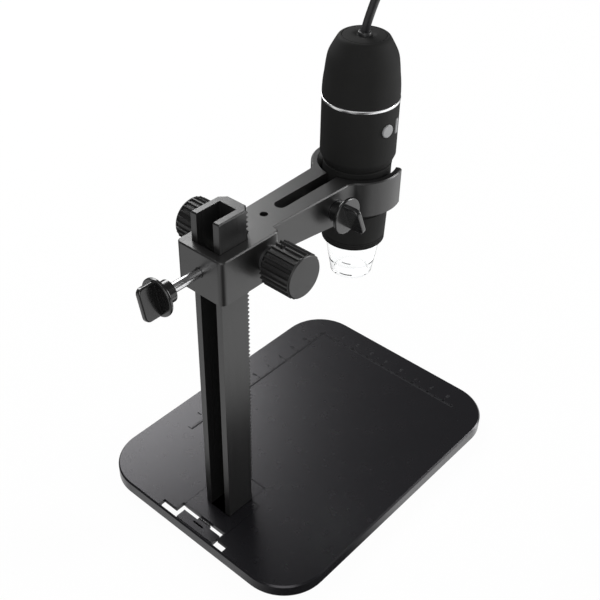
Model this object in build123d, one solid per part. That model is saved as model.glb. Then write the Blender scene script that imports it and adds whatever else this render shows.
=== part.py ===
from build123d import *
import os
from math import atan2, ceil, cos, pi, radians, sin, sqrt, tan

# Digital microscope on a rack stand. Millimetres, +Z up, arm towards -Y, column towards +Y.
# The origin is the centre of the base on the surface that it stands on.

# Clearances shared by the pieces
SLIDE_GAP = 0.15          # faces that slide on each other
RUNNING_GAP = 0.06        # radial, shafts that turn in a bore
SEAT_GAP = 0.02           # radial, pieces pressed or screwed together
LOOSE_GAP = 0.3           # a piece that lies loose in its seat
OVERRUN = 1.0             # cutters run past the faces that they open

# Base
BASE_WIDTH = 120.8
BASE_LENGTH = 158.9
BASE_CORNER = 21.5
BASE_MIDDLE_X = 2.5       # the column and its foot stand a little off the middle of the base
BASE_HEIGHT = 6.5
BASE_TOP_WALL = 2.2
BASE_SIDE_WALL = 2.4
BASE_EDGE = 0.7
SKIRT_LIFT = 0.5
PAD_THICK = 1.5
BASE_REAR_Y = BASE_LENGTH / 2
BALLAST_EDGE_GAP = 0.6
BALLAST_REAR_INSET = 45.45
BALLAST_REAR_Y = BASE_REAR_Y - BALLAST_REAR_INSET
REAR_FOOT_RADIUS = 6.0
REAR_FOOT_SIDE_INSET = 16.4
REAR_FOOT_REAR_INSET = 13.45
REAR_FOOT_REACH = BASE_WIDTH / 2 - REAR_FOOT_SIDE_INSET
REAR_FOOT_XS = (BASE_MIDDLE_X - REAR_FOOT_REACH, BASE_MIDDLE_X + REAR_FOOT_REACH)
REAR_FOOT_Y = BASE_REAR_Y - REAR_FOOT_REAR_INSET
BALLAST_SCREW_SIDE_INSET = 18.4
BALLAST_SCREW_FRONT_INSET = 21.45
BALLAST_SCREW_REAR_INSET = 12.0
BALLAST_SCREW_REACH = BASE_WIDTH / 2 - BALLAST_SCREW_SIDE_INSET
BALLAST_SCREW_XS = (BASE_MIDDLE_X - BALLAST_SCREW_REACH, BASE_MIDDLE_X + BALLAST_SCREW_REACH)
BALLAST_SCREW_FRONT_Y = -BASE_REAR_Y + BALLAST_SCREW_FRONT_INSET
BALLAST_SCREW_REAR_Y = BALLAST_REAR_Y - BALLAST_SCREW_REAR_INSET

# Machine screws in the base
SCREW_RADIUS = 1.45
SCREW_HEAD_RADIUS = 2.7
SCREW_HEAD = 1.2
SCREW_BITE = 1.4
SCREW_BLIND = 0.1

# Foot of the column, a T in plan that slides under the top plate
FOOT_HALF_WIDTH = 13.0
FOOT_REAR_INSET = 8.95
FOOT_HEAD = 21.5
FOOT_TONGUE = 9.5
FOOT_REAR_Y = BASE_REAR_Y - FOOT_REAR_INSET
FOOT_STEP_Y = FOOT_REAR_Y - FOOT_HEAD
FOOT_FRONT_Y = FOOT_STEP_Y - FOOT_TONGUE
FOOT_TONGUE_HALF = 7.5
FOOT_BOTTOM_Z = 1.8
FOOT_FLOOR = 1.2
FOOT_LIP = 2.4
FOOT_CATCH = 1.5          # ledge at the back that the latch stops
FOOT_CATCH_Z = 4.0

# Column, a channel open to the rear
COLUMN_HALF_WIDTH = 7.3
COLUMN_DEPTH = 16.8
COLUMN_FOOT_EDGE = 8.3    # foot that shows behind the column
COLUMN_HEIGHT = 156.5     # above the base
COLUMN_REAR_Y = FOOT_REAR_Y - COLUMN_FOOT_EDGE
COLUMN_FRONT_Y = COLUMN_REAR_Y - COLUMN_DEPTH
COLUMN_TOP_Z = BASE_HEIGHT + COLUMN_HEIGHT
COLUMN_WEB = 4.8
COLUMN_SLOT_HALF = 4.3
COLUMN_CHAMFER = 2.8
COLUMN_EDGE = 0.5
COLUMN_SCREW_X = 3.8
COLUMN_SCREW_INSET = 2.4
COLUMN_SCREW_LENGTH = 9.0

# Rack and pinion
MODULE = 0.65
PINION_TEETH = 10
TOOTH_ADDENDUM_SHARE = 0.8
TOOTH_DEDENDUM_SHARE = 1.1
BACKLASH = 0.34
PRESSURE_ANGLE = 20.0
PINION_AHEAD = 4.0        # axis of the pinion in front of the column
PINION_RISE = 9.8         # and above the underside of the carriage
PINION_HALF_WIDTH = 4.0
RACK_HALF_WIDTH = 4.1
RACK_BOTTOM_GAP = 7.5
RACK_TOP_GAP = 3.3
RACK_INLAY = 1.2
SHAFT_RADIUS = 2.0
BUSH_RADIUS = 3.86
BUSH_FLANGE_RADIUS = 5.5
BUSH_FLANGE = 1.2
BUSH_INNER_X = 4.5

# Focus knobs
KNOB_RADIUS = 9.3
KNOB_ROOT_RADIUS = 8.4
KNOB_RIBS = 24
KNOB_RIB_SHARE = 0.5
KNOB_INNER_X = 16.0
KNOB_OUTER_X = 30.2
KNOB_CAP = 0.9
KNOB_CAP_RADIUS = 8.9
KNOB_HUB_RADIUS = 5.0
KNOB_HUB_X = 13.6
KNOB_SHAFT_DEPTH = 10.0
GRUB_RADIUS = 1.2
GRUB_X = 19.5

# Carriage block
CARRIAGE_HALF_WIDTH = 12.1
CARRIAGE_BEHIND = 4.0
CARRIAGE_AHEAD = 10.6
CARRIAGE_HEIGHT = 19.5
CARRIAGE_BELOW_TOP = 12.8  # from the top of the column
CARRIAGE_REAR_Y = COLUMN_REAR_Y + CARRIAGE_BEHIND
CARRIAGE_FRONT_Y = COLUMN_FRONT_Y - CARRIAGE_AHEAD
CARRIAGE_TOP_Z = COLUMN_TOP_Z - CARRIAGE_BELOW_TOP
CARRIAGE_BOTTOM_Z = CARRIAGE_TOP_Z - CARRIAGE_HEIGHT
CARRIAGE_CORNER = 2.6
CARRIAGE_EDGE = 0.5
RACK_RELIEF = 0.35

# Arm and split collar, one moulding with the carriage block
AXIS_Y = -26.0            # optical axis, at X = 0
ARM_ROOT_HALF = 8.6
ARM_COLLAR_HALF = 10.6
ARM_ROOT_RISE = 6.9       # underside of the arm above that of the carriage
COLLAR_RISE = 3.6
ARM_LEVEL_Y = 1.5         # the underside is level from here to the collar
ARM_FILLET = 5.0
ARM_END_REACH = 12.0      # its straight sides end this far from the axis
SLOT_HALF = 2.6
SLOT_END_GAP = 10.8
MOULD_HOLE_RADIUS = 1.65
MOULD_HOLE_GAP = 3.7
MOULD_HOLE_DEPTH = 9.0
COLLAR_WALL = 4.95        # round the sleeve
COLLAR_MOUTH_HALF = 65.0  # half angle of the open front
COLLAR_JAW_EDGE = 1.2
COLLAR_MOUTH_STEP = 2.35
COLLAR_GRIP = 10.3        # height of the part that grips the sleeve
ARM_ROOT_BOTTOM_Z = CARRIAGE_BOTTOM_Z + ARM_ROOT_RISE
COLLAR_BOTTOM_Z = CARRIAGE_BOTTOM_Z + COLLAR_RISE
ARM_END_Y = AXIS_Y + ARM_END_REACH
SLOT_END_Y = CARRIAGE_FRONT_Y - SLOT_END_GAP
MOULD_HOLE_Y = CARRIAGE_FRONT_Y - MOULD_HOLE_GAP
COLLAR_GRIP_TOP_Z = CARRIAGE_BOTTOM_Z + COLLAR_GRIP

# Screws with wing knobs
CLAMP_REACH = 25.5        # from the optical axis
CLAMP_RISE = 10.8
LOCK_RISE = 10.3
CLAMP_Y = AXIS_Y + CLAMP_REACH
CLAMP_Z = CARRIAGE_BOTTOM_Z + CLAMP_RISE
LOCK_Z = CARRIAGE_BOTTOM_Z + LOCK_RISE
STUD_RADIUS = 2.0
NUT_FLATS_HALF = 3.5
NUT_THICK = 3.2
NUT_SINK = 2.6
WASHER_RADIUS = 4.4
WASHER_THICK = 0.6
INSERT_RADIUS = 3.2
INSERT_LENGTH = 2.7
LOCK_TIP_RADIUS = 3.0
LOCK_TIP_LENGTH = 2.4
LOCK_TIP_POCKET = 1.4
LOCK_KNOB_GAP = 14.8
LOCK_KNOB_Y = CARRIAGE_REAR_Y + LOCK_KNOB_GAP
WING_COLLAR_RADIUS = 4.5
WING_COLLAR = 4.8
WING_DISC_RADIUS = 7.8
WING_DISC = 1.6
WING_DISC_EDGE = 0.6
WING_THICK = 2.4          # of the blade that stands on the disc
WING_HEIGHT = 13.8
WING_DEPTH = 7.2
WING_CORNER = 2.4
WING_EDGE = 0.7
WING_STUD_DEPTH = 5.0
LOCK_TURN = 15.0
CLAMP_TURN = 22.0

# Latch tab behind the foot
LATCH_LEFT_X = 10.8
LATCH_RIGHT_X = -11.8
LATCH_REAR_INSET = 1.25
LATCH_DEPTH = 5.0
LATCH_PIVOT_INSET = 4.05
LATCH_REAR_Y = BASE_REAR_Y - LATCH_REAR_INSET
LATCH_FRONT_Y = LATCH_REAR_Y - LATCH_DEPTH
LATCH_PIVOT_Y = BASE_REAR_Y - LATCH_PIVOT_INSET
LATCH_PIVOT_Z = 2.9
LATCH_THICK = 2.0
LATCH_PIN_RADIUS = 0.9
LATCH_PIN_WALL = 0.6
LATCH_EAR_X = 8.5
LATCH_EAR = 1.5
LATCH_RIB_X = 5.0
LATCH_RIB = 2.6
LATCH_RIB_TOP_Z = 4.05
LATCH_BLOCK_HALF = 3.6
LATCH_BLOCK_TOP_Z = 4.8
LATCH_BLOCK_BOTTOM_Z = 3.2
LATCH_GAP = 0.35
LATCH_HOLE_LEG = 3.3
LATCH_HOLE_RIGHT_REACH = 6.6
LATCH_HOLE_REACH_X = 22.0
LATCH_HOLE_DEPTH = 3.2
LATCH_HOLE_FRONT_Y = LATCH_REAR_Y - LATCH_HOLE_DEPTH
LATCH_SIGHT_HALF = 2.9
LATCH_SIGHT_GAP = 1.4
LATCH_SIGHT_FRONT_Y = LATCH_FRONT_Y + LATCH_SIGHT_GAP
LATCH_SIGHT_DEPTH = 0.8

# Microscope housings, radii about the optical axis
HOUSING_RADIUS = 15.9
HOUSING_WALL = 2.1
GRIP_STEP = 1.45          # how far the radii stay inside that of the casings
LIP_STEP = 1.3
LOWER_BOTTOM_STEP = 1.3
UPPER_KNEE_STEP = 0.7
UPPER_HIP_STEP = 1.65
UPPER_CROWN_STEP = 5.8
CAP_STEP = 7.1
GRIP_RADIUS = HOUSING_RADIUS - GRIP_STEP
LIP_RADIUS = HOUSING_RADIUS - LIP_STEP
LOWER_BOTTOM_RADIUS = HOUSING_RADIUS - LOWER_BOTTOM_STEP
UPPER_KNEE_RADIUS = HOUSING_RADIUS - UPPER_KNEE_STEP
UPPER_HIP_RADIUS = HOUSING_RADIUS - UPPER_HIP_STEP
UPPER_CROWN_RADIUS = HOUSING_RADIUS - UPPER_CROWN_STEP
CAP_RADIUS = HOUSING_RADIUS - CAP_STEP
COLLAR_RADIUS = GRIP_RADIUS + COLLAR_WALL
COLLAR_MOUTH_RADIUS = GRIP_RADIUS + COLLAR_MOUTH_STEP
LIP = 1.5
SLEEVE_BELOW = 0.6        # the sleeve stands out of the collar at both ends
SLEEVE_ABOVE = 2.1
SLEEVE_BOTTOM_Z = CARRIAGE_BOTTOM_Z - SLEEVE_BELOW
SLEEVE_TOP_Z = CARRIAGE_TOP_Z + SLEEVE_ABOVE
SLEEVE_WALL = 2.0
LOWER_CHAMFER = 3.3
LOWER_HEIGHT = 27.0
LOWER_CHAMFER_Z = SLEEVE_TOP_Z + LOWER_CHAMFER
LOWER_TOP_Z = SLEEVE_TOP_Z + LOWER_HEIGHT
LOWER_FLOOR = 1.6
LOWER_FLOOR_STEP = 0.7
LOWER_FLOOR_BORE = HOUSING_RADIUS - 2 * HOUSING_WALL - LOWER_FLOOR_STEP
TRIM_HEIGHT = 1.2
TRIM_PROUD = 0.15
SPIGOT_DEPTH = 2.6
SPIGOT_WALL = 1.4
UPPER_KNEE_RISE = 9.5    # heights above the trim ring
UPPER_HIP_RISE = 16.9
UPPER_CROWN_RISE = 24.8
UPPER_BOTTOM_Z = LOWER_TOP_Z + TRIM_HEIGHT
UPPER_KNEE_Z = UPPER_BOTTOM_Z + UPPER_KNEE_RISE
UPPER_HIP_Z = UPPER_BOTTOM_Z + UPPER_HIP_RISE
UPPER_CROWN_Z = UPPER_BOTTOM_Z + UPPER_CROWN_RISE
CAP_SEAM_RISE = 0.1
CAP_DOME = 0.5
CAP_SEAM_Z = UPPER_CROWN_Z + CAP_SEAM_RISE
CAP_TOP_Z = CAP_SEAM_Z + CAP_DOME
CAP_THICK = 1.8
CAP_LEDGE = 1.4
GLAND_RADIUS = 2.7
GLAND_FLANGE_RADIUS = 3.6
GLAND_FLANGE = 1.0
GLAND_LENGTH = 7.0
GLAND_PROUD = 0.9

# Boards, buttons and optics inside
BOARD_THICK = 1.2
BOARD_EDGE_GAP = 0.4
BOARD_RADIUS = HOUSING_RADIUS - HOUSING_WALL - BOARD_EDGE_GAP
BOARD_RISE = 5.1          # above the floor of the lower casing
BOARD_Z = SLEEVE_TOP_Z + BOARD_RISE
BOARD_LEDGE = 1.4
BOARD_SCREW_RADIUS = 0.8
BOARD_SCREW_HEAD = 0.9
BOARD_SCREW_HEAD_RADIUS = 1.3
BOARD_SCREW_INSET = 1.5
BOARD_SCREW_RING = BOARD_RADIUS - BOARD_SCREW_INSET
BOARD_SCREWS = 3
SENSOR_HALF = 4.0
SENSOR_THICK = 1.4
TUBE_STEP = 5.7
TUBE_WALL = 1.8
TUBE_RADIUS = HOUSING_RADIUS - TUBE_STEP
TUBE_BORE = TUBE_RADIUS - TUBE_WALL
TUBE_BELOW = 13.6         # from the underside of the sleeve
TUBE_BOTTOM_Z = SLEEVE_BOTTOM_Z - TUBE_BELOW
CARRIER_LENGTH = 8.0
CARRIER_RISE = 2.8
CARRIER_BOTTOM_Z = TUBE_BOTTOM_Z + CARRIER_RISE
CARRIER_GAP = 0.08
LENS_RADIUS = 4.2
LENS_THICK = 3.0
LENS_SEAT = 2.0
LENS_STOP = 0.8
DRIVE_PIN_RADIUS = 0.8
DRIVE_PIN_PROUD = 1.0
DRIVE_PIN_RISE = 6.1
DRIVE_PIN_Z = TUBE_BOTTOM_Z + DRIVE_PIN_RISE
DRIVE_PIN_REACH = TUBE_RADIUS + DRIVE_PIN_PROUD
DRIVE_SLOT_TRAVEL = 2.9
LED_BOARD_STEP = 4.5
LED_BOARD_RADIUS = HOUSING_RADIUS - LED_BOARD_STEP
LED_BOARD_BORE = 5.5
LED_COUNT = 8
LED_RING_INSET = 2.8
LED_RING = LED_BOARD_RADIUS - LED_RING_INSET
LED_RADIUS = 1.5
LED_HEIGHT = 1.6
SWITCH_BOARD_STEP = 6.8
SWITCH_BOARD_RADIUS = HOUSING_RADIUS - SWITCH_BOARD_STEP
SWITCH_BOARD_THICK = 1.2
SWITCH_BOARD_SPREAD = 66.0
SWITCH_BOARD_TOP_GAP = 4.3
SWITCH_BOARD_TOP_Z = LOWER_TOP_Z - SWITCH_BOARD_TOP_GAP
SWITCH_BODY = 1.5
SWITCH_HALF = 1.7
SWITCH_PLUNGER_RADIUS = 1.0
SWITCH_PLUNGER = 0.9
BUTTON_BELOW = 9.1        # from the trim ring
BUTTON_Z = LOWER_TOP_Z - BUTTON_BELOW
BUTTON_RADIUS = 2.75
BUTTON_PROUD = 0.5
BUTTON_STEM_RADIUS = 1.9
BUTTON_FLANGE_RADIUS = 2.5
BUTTON_FLANGE = 0.8
BUTTON_TRAVEL = 0.5
BUTTON_HEAD = 1.1
BUTTON_GAP = 0.12
BAR_HALF_WIDTH = 0.85     # the second button is a slim upright bar
BAR_HALF_HEIGHT = 3.2
BAR_PROUD = 0.4
BAR_EDGE = 0.2
BAR_STEM_RADIUS = 0.7
BAR_FLANGE_RADIUS = 1.6
SNAPSHOT_ANGLE = 173.0    # directions of the two buttons about the optical axis
ZOOM_ANGLE = 196.0

# Focus barrel and clear tip
BARREL_TOP_GAP = 0.4
BARREL_HEIGHT = 16.2
BARREL_TOP_Z = SLEEVE_BOTTOM_Z - BARREL_TOP_GAP
BARREL_BOTTOM_Z = BARREL_TOP_Z - BARREL_HEIGHT
BARREL_TOP_STEP = 1.6
BARREL_TAPER = 0.55
BARREL_WALL = 1.65
BARREL_TOP_RADIUS = HOUSING_RADIUS - BARREL_TOP_STEP
BARREL_BOTTOM_RADIUS = BARREL_TOP_RADIUS - BARREL_TAPER
BARREL_BORE = BARREL_BOTTOM_RADIUS - BARREL_WALL
BARREL_COLLAR = 3.0
BARREL_GROOVES = 3
BARREL_GROOVE_PITCH = 1.1
BARREL_GROOVE_DEPTH = 0.25
BARREL_GROOVE_WIDTH = 0.4
TIP_HEIGHT = 18.2
TIP_SHOULDER = 12.0
TIP_BOTTOM_Z = BARREL_BOTTOM_Z - TIP_HEIGHT
TIP_SHOULDER_Z = TIP_BOTTOM_Z + TIP_SHOULDER
TIP_SHOULDER_STEP = 4.7
TIP_BOTTOM_STEP = 6.7
TIP_SHOULDER_RADIUS = HOUSING_RADIUS - TIP_SHOULDER_STEP
TIP_BOTTOM_RADIUS = HOUSING_RADIUS - TIP_BOTTOM_STEP
TIP_WALL = 1.0
TIP_SEAT = 1.4
TIP_SHELF_RISE = 5.5
TIP_SHELF_Z = TIP_BOTTOM_Z + TIP_SHELF_RISE
TIP_SHELF = 0.8
TIP_SHELF_STEP = 2.8
TIP_SHELF_BORE = TIP_BOTTOM_RADIUS - TIP_SHELF_STEP
TIP_LIP = 1.0

# Cord, coil, tie and plug
CORD_RADIUS = 1.75
CORD_TAIL = 14.0
CORD_LANDING = 19.3              # last run of the free cord, flat on its way into the coil
ARC_RUN_SHARE = 0.45             # how much of a run the arc at its end may take
COIL_X = -180.0
COIL_Y = -42.0
COIL_OUTER = 21.5
COIL_PITCH = 3.98
COIL_TURNS_IN = 2.75
COIL_TURNS_OUT = 2.5
COIL_START_TURN = 0.25           # where round the coil its first turn begins
COIL_CLIMB_TURN = 0.5            # the part of a turn that climbs a layer
COIL_CHECK_POINTS = 700
TIE_THICK = 0.8
TIE_WIDTH = 5.0
TIE_GAP = 0.1
PLUG_WIDTH = 15.6
PLUG_HEIGHT = 8.4
PLUG_LENGTH = 22.0
PLUG_CORNER = 2.0
PLUG_TAPER = 7.0
PLUG_NECK_RADIUS = 3.0
PLUG_LEAD_RUN = 11.0
PLUG_LEAD_BENDS = 3
SHELL_WIDTH = 12.0
SHELL_HEIGHT = 4.5
SHELL_LENGTH = 18.75
SHELL_WALL = 0.35
TONGUE_WIDTH = 11.1
TONGUE_THICK = 1.84
TONGUE_SHORT = 1.5

# Route of the free cord, as places chosen by eye: out of the gland, over to -X and down.
# The first places are counted from the top of the gland, the others from the origin.
CORD_RISE = [
    (0.0, 0.0, 8.0),
    (-5.2, 0.2, 22.2),
    (-18.5, 0.6, 40.2),
    (-42.5, 1.1, 54.2),
    (-72.0, 1.6, 57.2),
    (-100.0, 1.9, 47.2),
    (-122.0, 1.6, 22.2),
    (-134.0, 1.2, -14.8),
    (-139.5, 1.1, -56.8),
]
CORD_FALL = [
    (-141.5, -24.6, 106.0),
    (-141.0, -23.6, 69.0),
    (-141.8, -22.6, 40.0),
    (-145.5, -21.6, 17.5),
]

os.makedirs("parts", exist_ok=True)
AXIS = Pos(0, AXIS_Y, 0)
BASE_UNDER_Z = BASE_HEIGHT - BASE_TOP_WALL
RACK_BOTTOM_Z = BASE_HEIGHT + RACK_BOTTOM_GAP
RACK_TOP_Z = COLUMN_TOP_Z - RACK_TOP_GAP
PINION_Y = COLUMN_FRONT_Y - PINION_AHEAD
PINION_Z = CARRIAGE_BOTTOM_Z + PINION_RISE
PITCH = pi * MODULE
PITCH_RADIUS = PINION_TEETH * MODULE / 2
PITCH_LINE_Y = PINION_Y + PITCH_RADIUS
ADDENDUM = TOOTH_ADDENDUM_SHARE * MODULE
DEDENDUM = TOOTH_DEDENDUM_SHARE * MODULE
RACK_TIP_Y = PITCH_LINE_Y - ADDENDUM
RACK_ROOT_Y = PITCH_LINE_Y + DEDENDUM
CORD_END = 2 * CORD_RADIUS       # straight end of a wound cord


def block(x0, x1, y0, y1, z0, z1):
    """A box between two corners."""
    size = Box(x1 - x0, y1 - y0, z1 - z0)
    return Pos((x0 + x1) / 2, (y0 + y1) / 2, (z0 + z1) / 2) * size


def post(radius, z0, z1, x=0, y=0):
    """A round post along Z."""
    return Pos(x, y, (z0 + z1) / 2) * Cylinder(radius, z1 - z0)


def rod_x(radius, x0, x1, y, z):
    """A round rod along X."""
    return Pos((x0 + x1) / 2, y, z) * Rot(0, 90, 0) * Cylinder(radius, x1 - x0)


def rod_y(radius, y0, y1, x, z):
    """A round rod along Y."""
    return Pos(x, (y0 + y1) / 2, z) * Rot(90, 0, 0) * Cylinder(radius, y1 - y0)


def tube(outer, bore, z0, z1):
    """A tube along Z, its bore cut right through."""
    return post(outer, z0, z1) - post(bore, z0 - OVERRUN, z1 + OVERRUN)


def turned(points):
    """A closed outline of (radius, z) points, turned about the Z axis."""
    face = make_face(Plane.XZ * Polyline(*points, close=True))
    return revolve(face, axis=Axis.Z)


def plate(width, length, corner, z0, z1, inset=0):
    """A plate with round corners, on the middle of the base."""
    outline = RectangleRounded(width - 2 * inset, length - 2 * inset, corner - inset)
    return extrude(Pos(BASE_MIDDLE_X, 0, z0) * outline, z1 - z0)


def vertical_edges(solid):
    """The straight upright edges of a solid."""
    return solid.edges().filter_by(Axis.Z)


# Base

def foot_outline(grow):
    """The T of the foot in plan, grown all round by a gap."""
    rear = FOOT_REAR_Y + grow
    step = FOOT_STEP_Y - grow
    front = FOOT_FRONT_Y - grow
    wide = FOOT_HALF_WIDTH + grow
    narrow = FOOT_TONGUE_HALF + grow
    points = [(wide, rear), (wide, step), (narrow, step), (narrow, front)]
    mirrored = [(-x, y) for x, y in reversed(points)]
    return make_face(Polyline(*points, *mirrored, close=True))


def ballast_screw_places():
    """Plan places of the screws that hold the ballast."""
    rows = (BALLAST_SCREW_FRONT_Y, BALLAST_SCREW_REAR_Y)
    return [(x, y) for x in BALLAST_SCREW_XS for y in rows]


def latch_window():
    """The cuts round the latch tab, right through the top plate."""
    low, high = BASE_UNDER_Z - OVERRUN, BASE_HEIGHT + OVERRUN
    rear = LATCH_REAR_Y + LATCH_GAP
    cut = block(LATCH_RIGHT_X - LATCH_GAP, LATCH_LEFT_X + LATCH_GAP,
                FOOT_REAR_Y, rear, low, high)
    leg_x = LATCH_LEFT_X + LATCH_HOLE_LEG
    cut += block(LATCH_LEFT_X, leg_x, FOOT_REAR_Y, rear, low, high)
    cut += block(LATCH_LEFT_X, LATCH_HOLE_REACH_X, LATCH_HOLE_FRONT_Y, rear, low, high)
    cut += block(LATCH_RIGHT_X - LATCH_HOLE_RIGHT_REACH, LATCH_RIGHT_X, LATCH_HOLE_FRONT_Y, rear, low, high)
    return cut


def base_shell():
    """The moulded base: top plate, skirt, rear bosses and the ribs that carry the latch."""
    body = plate(BASE_WIDTH, BASE_LENGTH, BASE_CORNER, SKIRT_LIFT, BASE_HEIGHT)
    body = chamfer(body.edges().group_by(Axis.Z)[-1], BASE_EDGE)
    body -= plate(BASE_WIDTH, BASE_LENGTH, BASE_CORNER, SKIRT_LIFT - OVERRUN, BASE_UNDER_Z, BASE_SIDE_WALL)
    for x in REAR_FOOT_XS:
        body += post(REAR_FOOT_RADIUS, PAD_THICK, BASE_UNDER_Z, x, REAR_FOOT_Y)
    under = BASE_UNDER_Z - OVERRUN
    body -= extrude(Pos(0, 0, under) * foot_outline(SLIDE_GAP), BASE_TOP_WALL + 2 * OVERRUN)
    body -= latch_window()
    for x, y in ballast_screw_places():
        body -= post(SCREW_RADIUS + SEAT_GAP, under, BASE_UNDER_Z + SCREW_BITE + SCREW_BLIND, x, y)
    body += latch_ribs()
    reach = LATCH_RIB_X + LATCH_RIB + SLIDE_GAP
    return body - rod_x(LATCH_PIN_RADIUS + RUNNING_GAP, -reach, reach, LATCH_PIVOT_Y, LATCH_PIVOT_Z)


def latch_ribs():
    """Two ribs on the rear wall that carry the pin of the latch."""
    wall = BASE_LENGTH / 2 - BASE_SIDE_WALL / 2
    front = LATCH_PIVOT_Y - LATCH_PIN_RADIUS - LATCH_PIN_WALL
    ribs = [block(x, x + LATCH_RIB, front, wall, PAD_THICK, LATCH_RIB_TOP_Z)
            for x in (LATCH_RIB_X, -LATCH_RIB_X - LATCH_RIB)]
    return ribs[0] + ribs[1]


def ballast_outline_plate(z0, z1, edge_gap):
    """The front part of the hollow under the top plate."""
    sheet = plate(BASE_WIDTH, BASE_LENGTH, BASE_CORNER, z0, z1, BASE_SIDE_WALL + edge_gap)
    return sheet - block(-BASE_WIDTH, BASE_WIDTH, BALLAST_REAR_Y, BASE_LENGTH, z0 - OVERRUN, z1 + OVERRUN)


def ballast_plate():
    """Steel plate that keeps the stand from tipping."""
    body = ballast_outline_plate(PAD_THICK, BASE_UNDER_Z, BALLAST_EDGE_GAP)
    for x, y in ballast_screw_places():
        body -= post(SCREW_RADIUS + SEAT_GAP, PAD_THICK - OVERRUN, BASE_UNDER_Z + OVERRUN, x, y)
        body -= post(SCREW_HEAD_RADIUS + SLIDE_GAP, PAD_THICK - OVERRUN, PAD_THICK + SCREW_HEAD, x, y)
    return body


def ballast_screws():
    """Screws from below through the ballast into the top plate."""
    head_top = PAD_THICK + SCREW_HEAD
    group = [post(SCREW_HEAD_RADIUS, PAD_THICK, head_top, x, y)
             + post(SCREW_RADIUS, head_top, BASE_UNDER_Z + SCREW_BITE, x, y)
             for x, y in ballast_screw_places()]
    return Compound(children=group)


def base_pad():
    """Non-slip sheet under the front of the base."""
    return ballast_outline_plate(0, PAD_THICK, LOOSE_GAP)


def rear_feet():
    """Two rubber discs under the rear corners."""
    discs = [post(REAR_FOOT_RADIUS, 0, PAD_THICK, x, REAR_FOOT_Y) for x in REAR_FOOT_XS]
    return Compound(children=discs)


def column_outline(grow=0):
    """Outside of the column in plan, with its chamfered front corners."""
    wide = COLUMN_HALF_WIDTH + grow
    front = COLUMN_FRONT_Y - grow
    rear = COLUMN_REAR_Y + grow
    cut = COLUMN_CHAMFER
    return make_face(Polyline((wide, rear), (wide, front + cut), (wide - cut, front),
                              (cut - wide, front), (-wide, front + cut), (-wide, rear), close=True))


def column_screw_places():
    """Plan places of the screws that hold the column to its foot."""
    return [(x, COLUMN_FRONT_Y + COLUMN_SCREW_INSET) for x in (-COLUMN_SCREW_X, COLUMN_SCREW_X)]


def column_foot():
    """Foot of the column, flush with the top of the base."""
    lip_top = BASE_UNDER_Z
    body = extrude(Pos(0, 0, FOOT_BOTTOM_Z) * foot_outline(0), BASE_HEIGHT - FOOT_BOTTOM_Z)
    body += block(-FOOT_HALF_WIDTH - FOOT_LIP, FOOT_HALF_WIDTH + FOOT_LIP, FOOT_STEP_Y - FOOT_LIP,
                  FOOT_REAR_Y - FOOT_LIP, FOOT_BOTTOM_Z, lip_top)
    body += block(-FOOT_TONGUE_HALF - FOOT_LIP, FOOT_TONGUE_HALF + FOOT_LIP, FOOT_FRONT_Y - FOOT_LIP,
                  FOOT_STEP_Y, FOOT_BOTTOM_Z, lip_top)
    floor = FOOT_BOTTOM_Z + FOOT_FLOOR
    body -= extrude(Pos(0, 0, floor) * column_outline(SEAT_GAP), BASE_HEIGHT)
    body -= block(-FOOT_HALF_WIDTH - OVERRUN, FOOT_HALF_WIDTH + OVERRUN, FOOT_REAR_Y - FOOT_CATCH,
                  FOOT_REAR_Y + OVERRUN, FOOT_BOTTOM_Z - OVERRUN, FOOT_CATCH_Z)
    for x, y in column_screw_places():
        body -= post(SCREW_RADIUS + SEAT_GAP, FOOT_BOTTOM_Z - OVERRUN, floor + OVERRUN, x, y)
    return body


def column():
    """Upright channel, open to the rear, with an inlay groove for the rack."""
    floor = FOOT_BOTTOM_Z + FOOT_FLOOR
    body = extrude(Pos(0, 0, floor) * column_outline(), COLUMN_TOP_Z - floor)
    body = chamfer(body.edges().group_by(Axis.Z)[-1], COLUMN_EDGE)
    body -= block(-COLUMN_SLOT_HALF, COLUMN_SLOT_HALF, COLUMN_FRONT_Y + COLUMN_WEB,
                  COLUMN_REAR_Y + OVERRUN, floor - OVERRUN, COLUMN_TOP_Z + OVERRUN)
    body -= block(-RACK_HALF_WIDTH - SEAT_GAP, RACK_HALF_WIDTH + SEAT_GAP, COLUMN_FRONT_Y - OVERRUN,
                  COLUMN_FRONT_Y + RACK_INLAY, RACK_BOTTOM_Z, RACK_TOP_Z)
    for x, y in column_screw_places():
        body -= post(SCREW_RADIUS + SEAT_GAP, floor - OVERRUN, floor + COLUMN_SCREW_LENGTH, x, y)
    return body


def column_screws():
    """Two screws from under the foot into the web of the column."""
    floor = FOOT_BOTTOM_Z + FOOT_FLOOR
    group = [post(SCREW_HEAD_RADIUS, FOOT_BOTTOM_Z - SCREW_HEAD, FOOT_BOTTOM_Z, x, y)
             + post(SCREW_RADIUS, FOOT_BOTTOM_Z, floor + COLUMN_SCREW_LENGTH - SCREW_BLIND, x, y)
             for x, y in column_screw_places()]
    return Compound(children=group)


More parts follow.
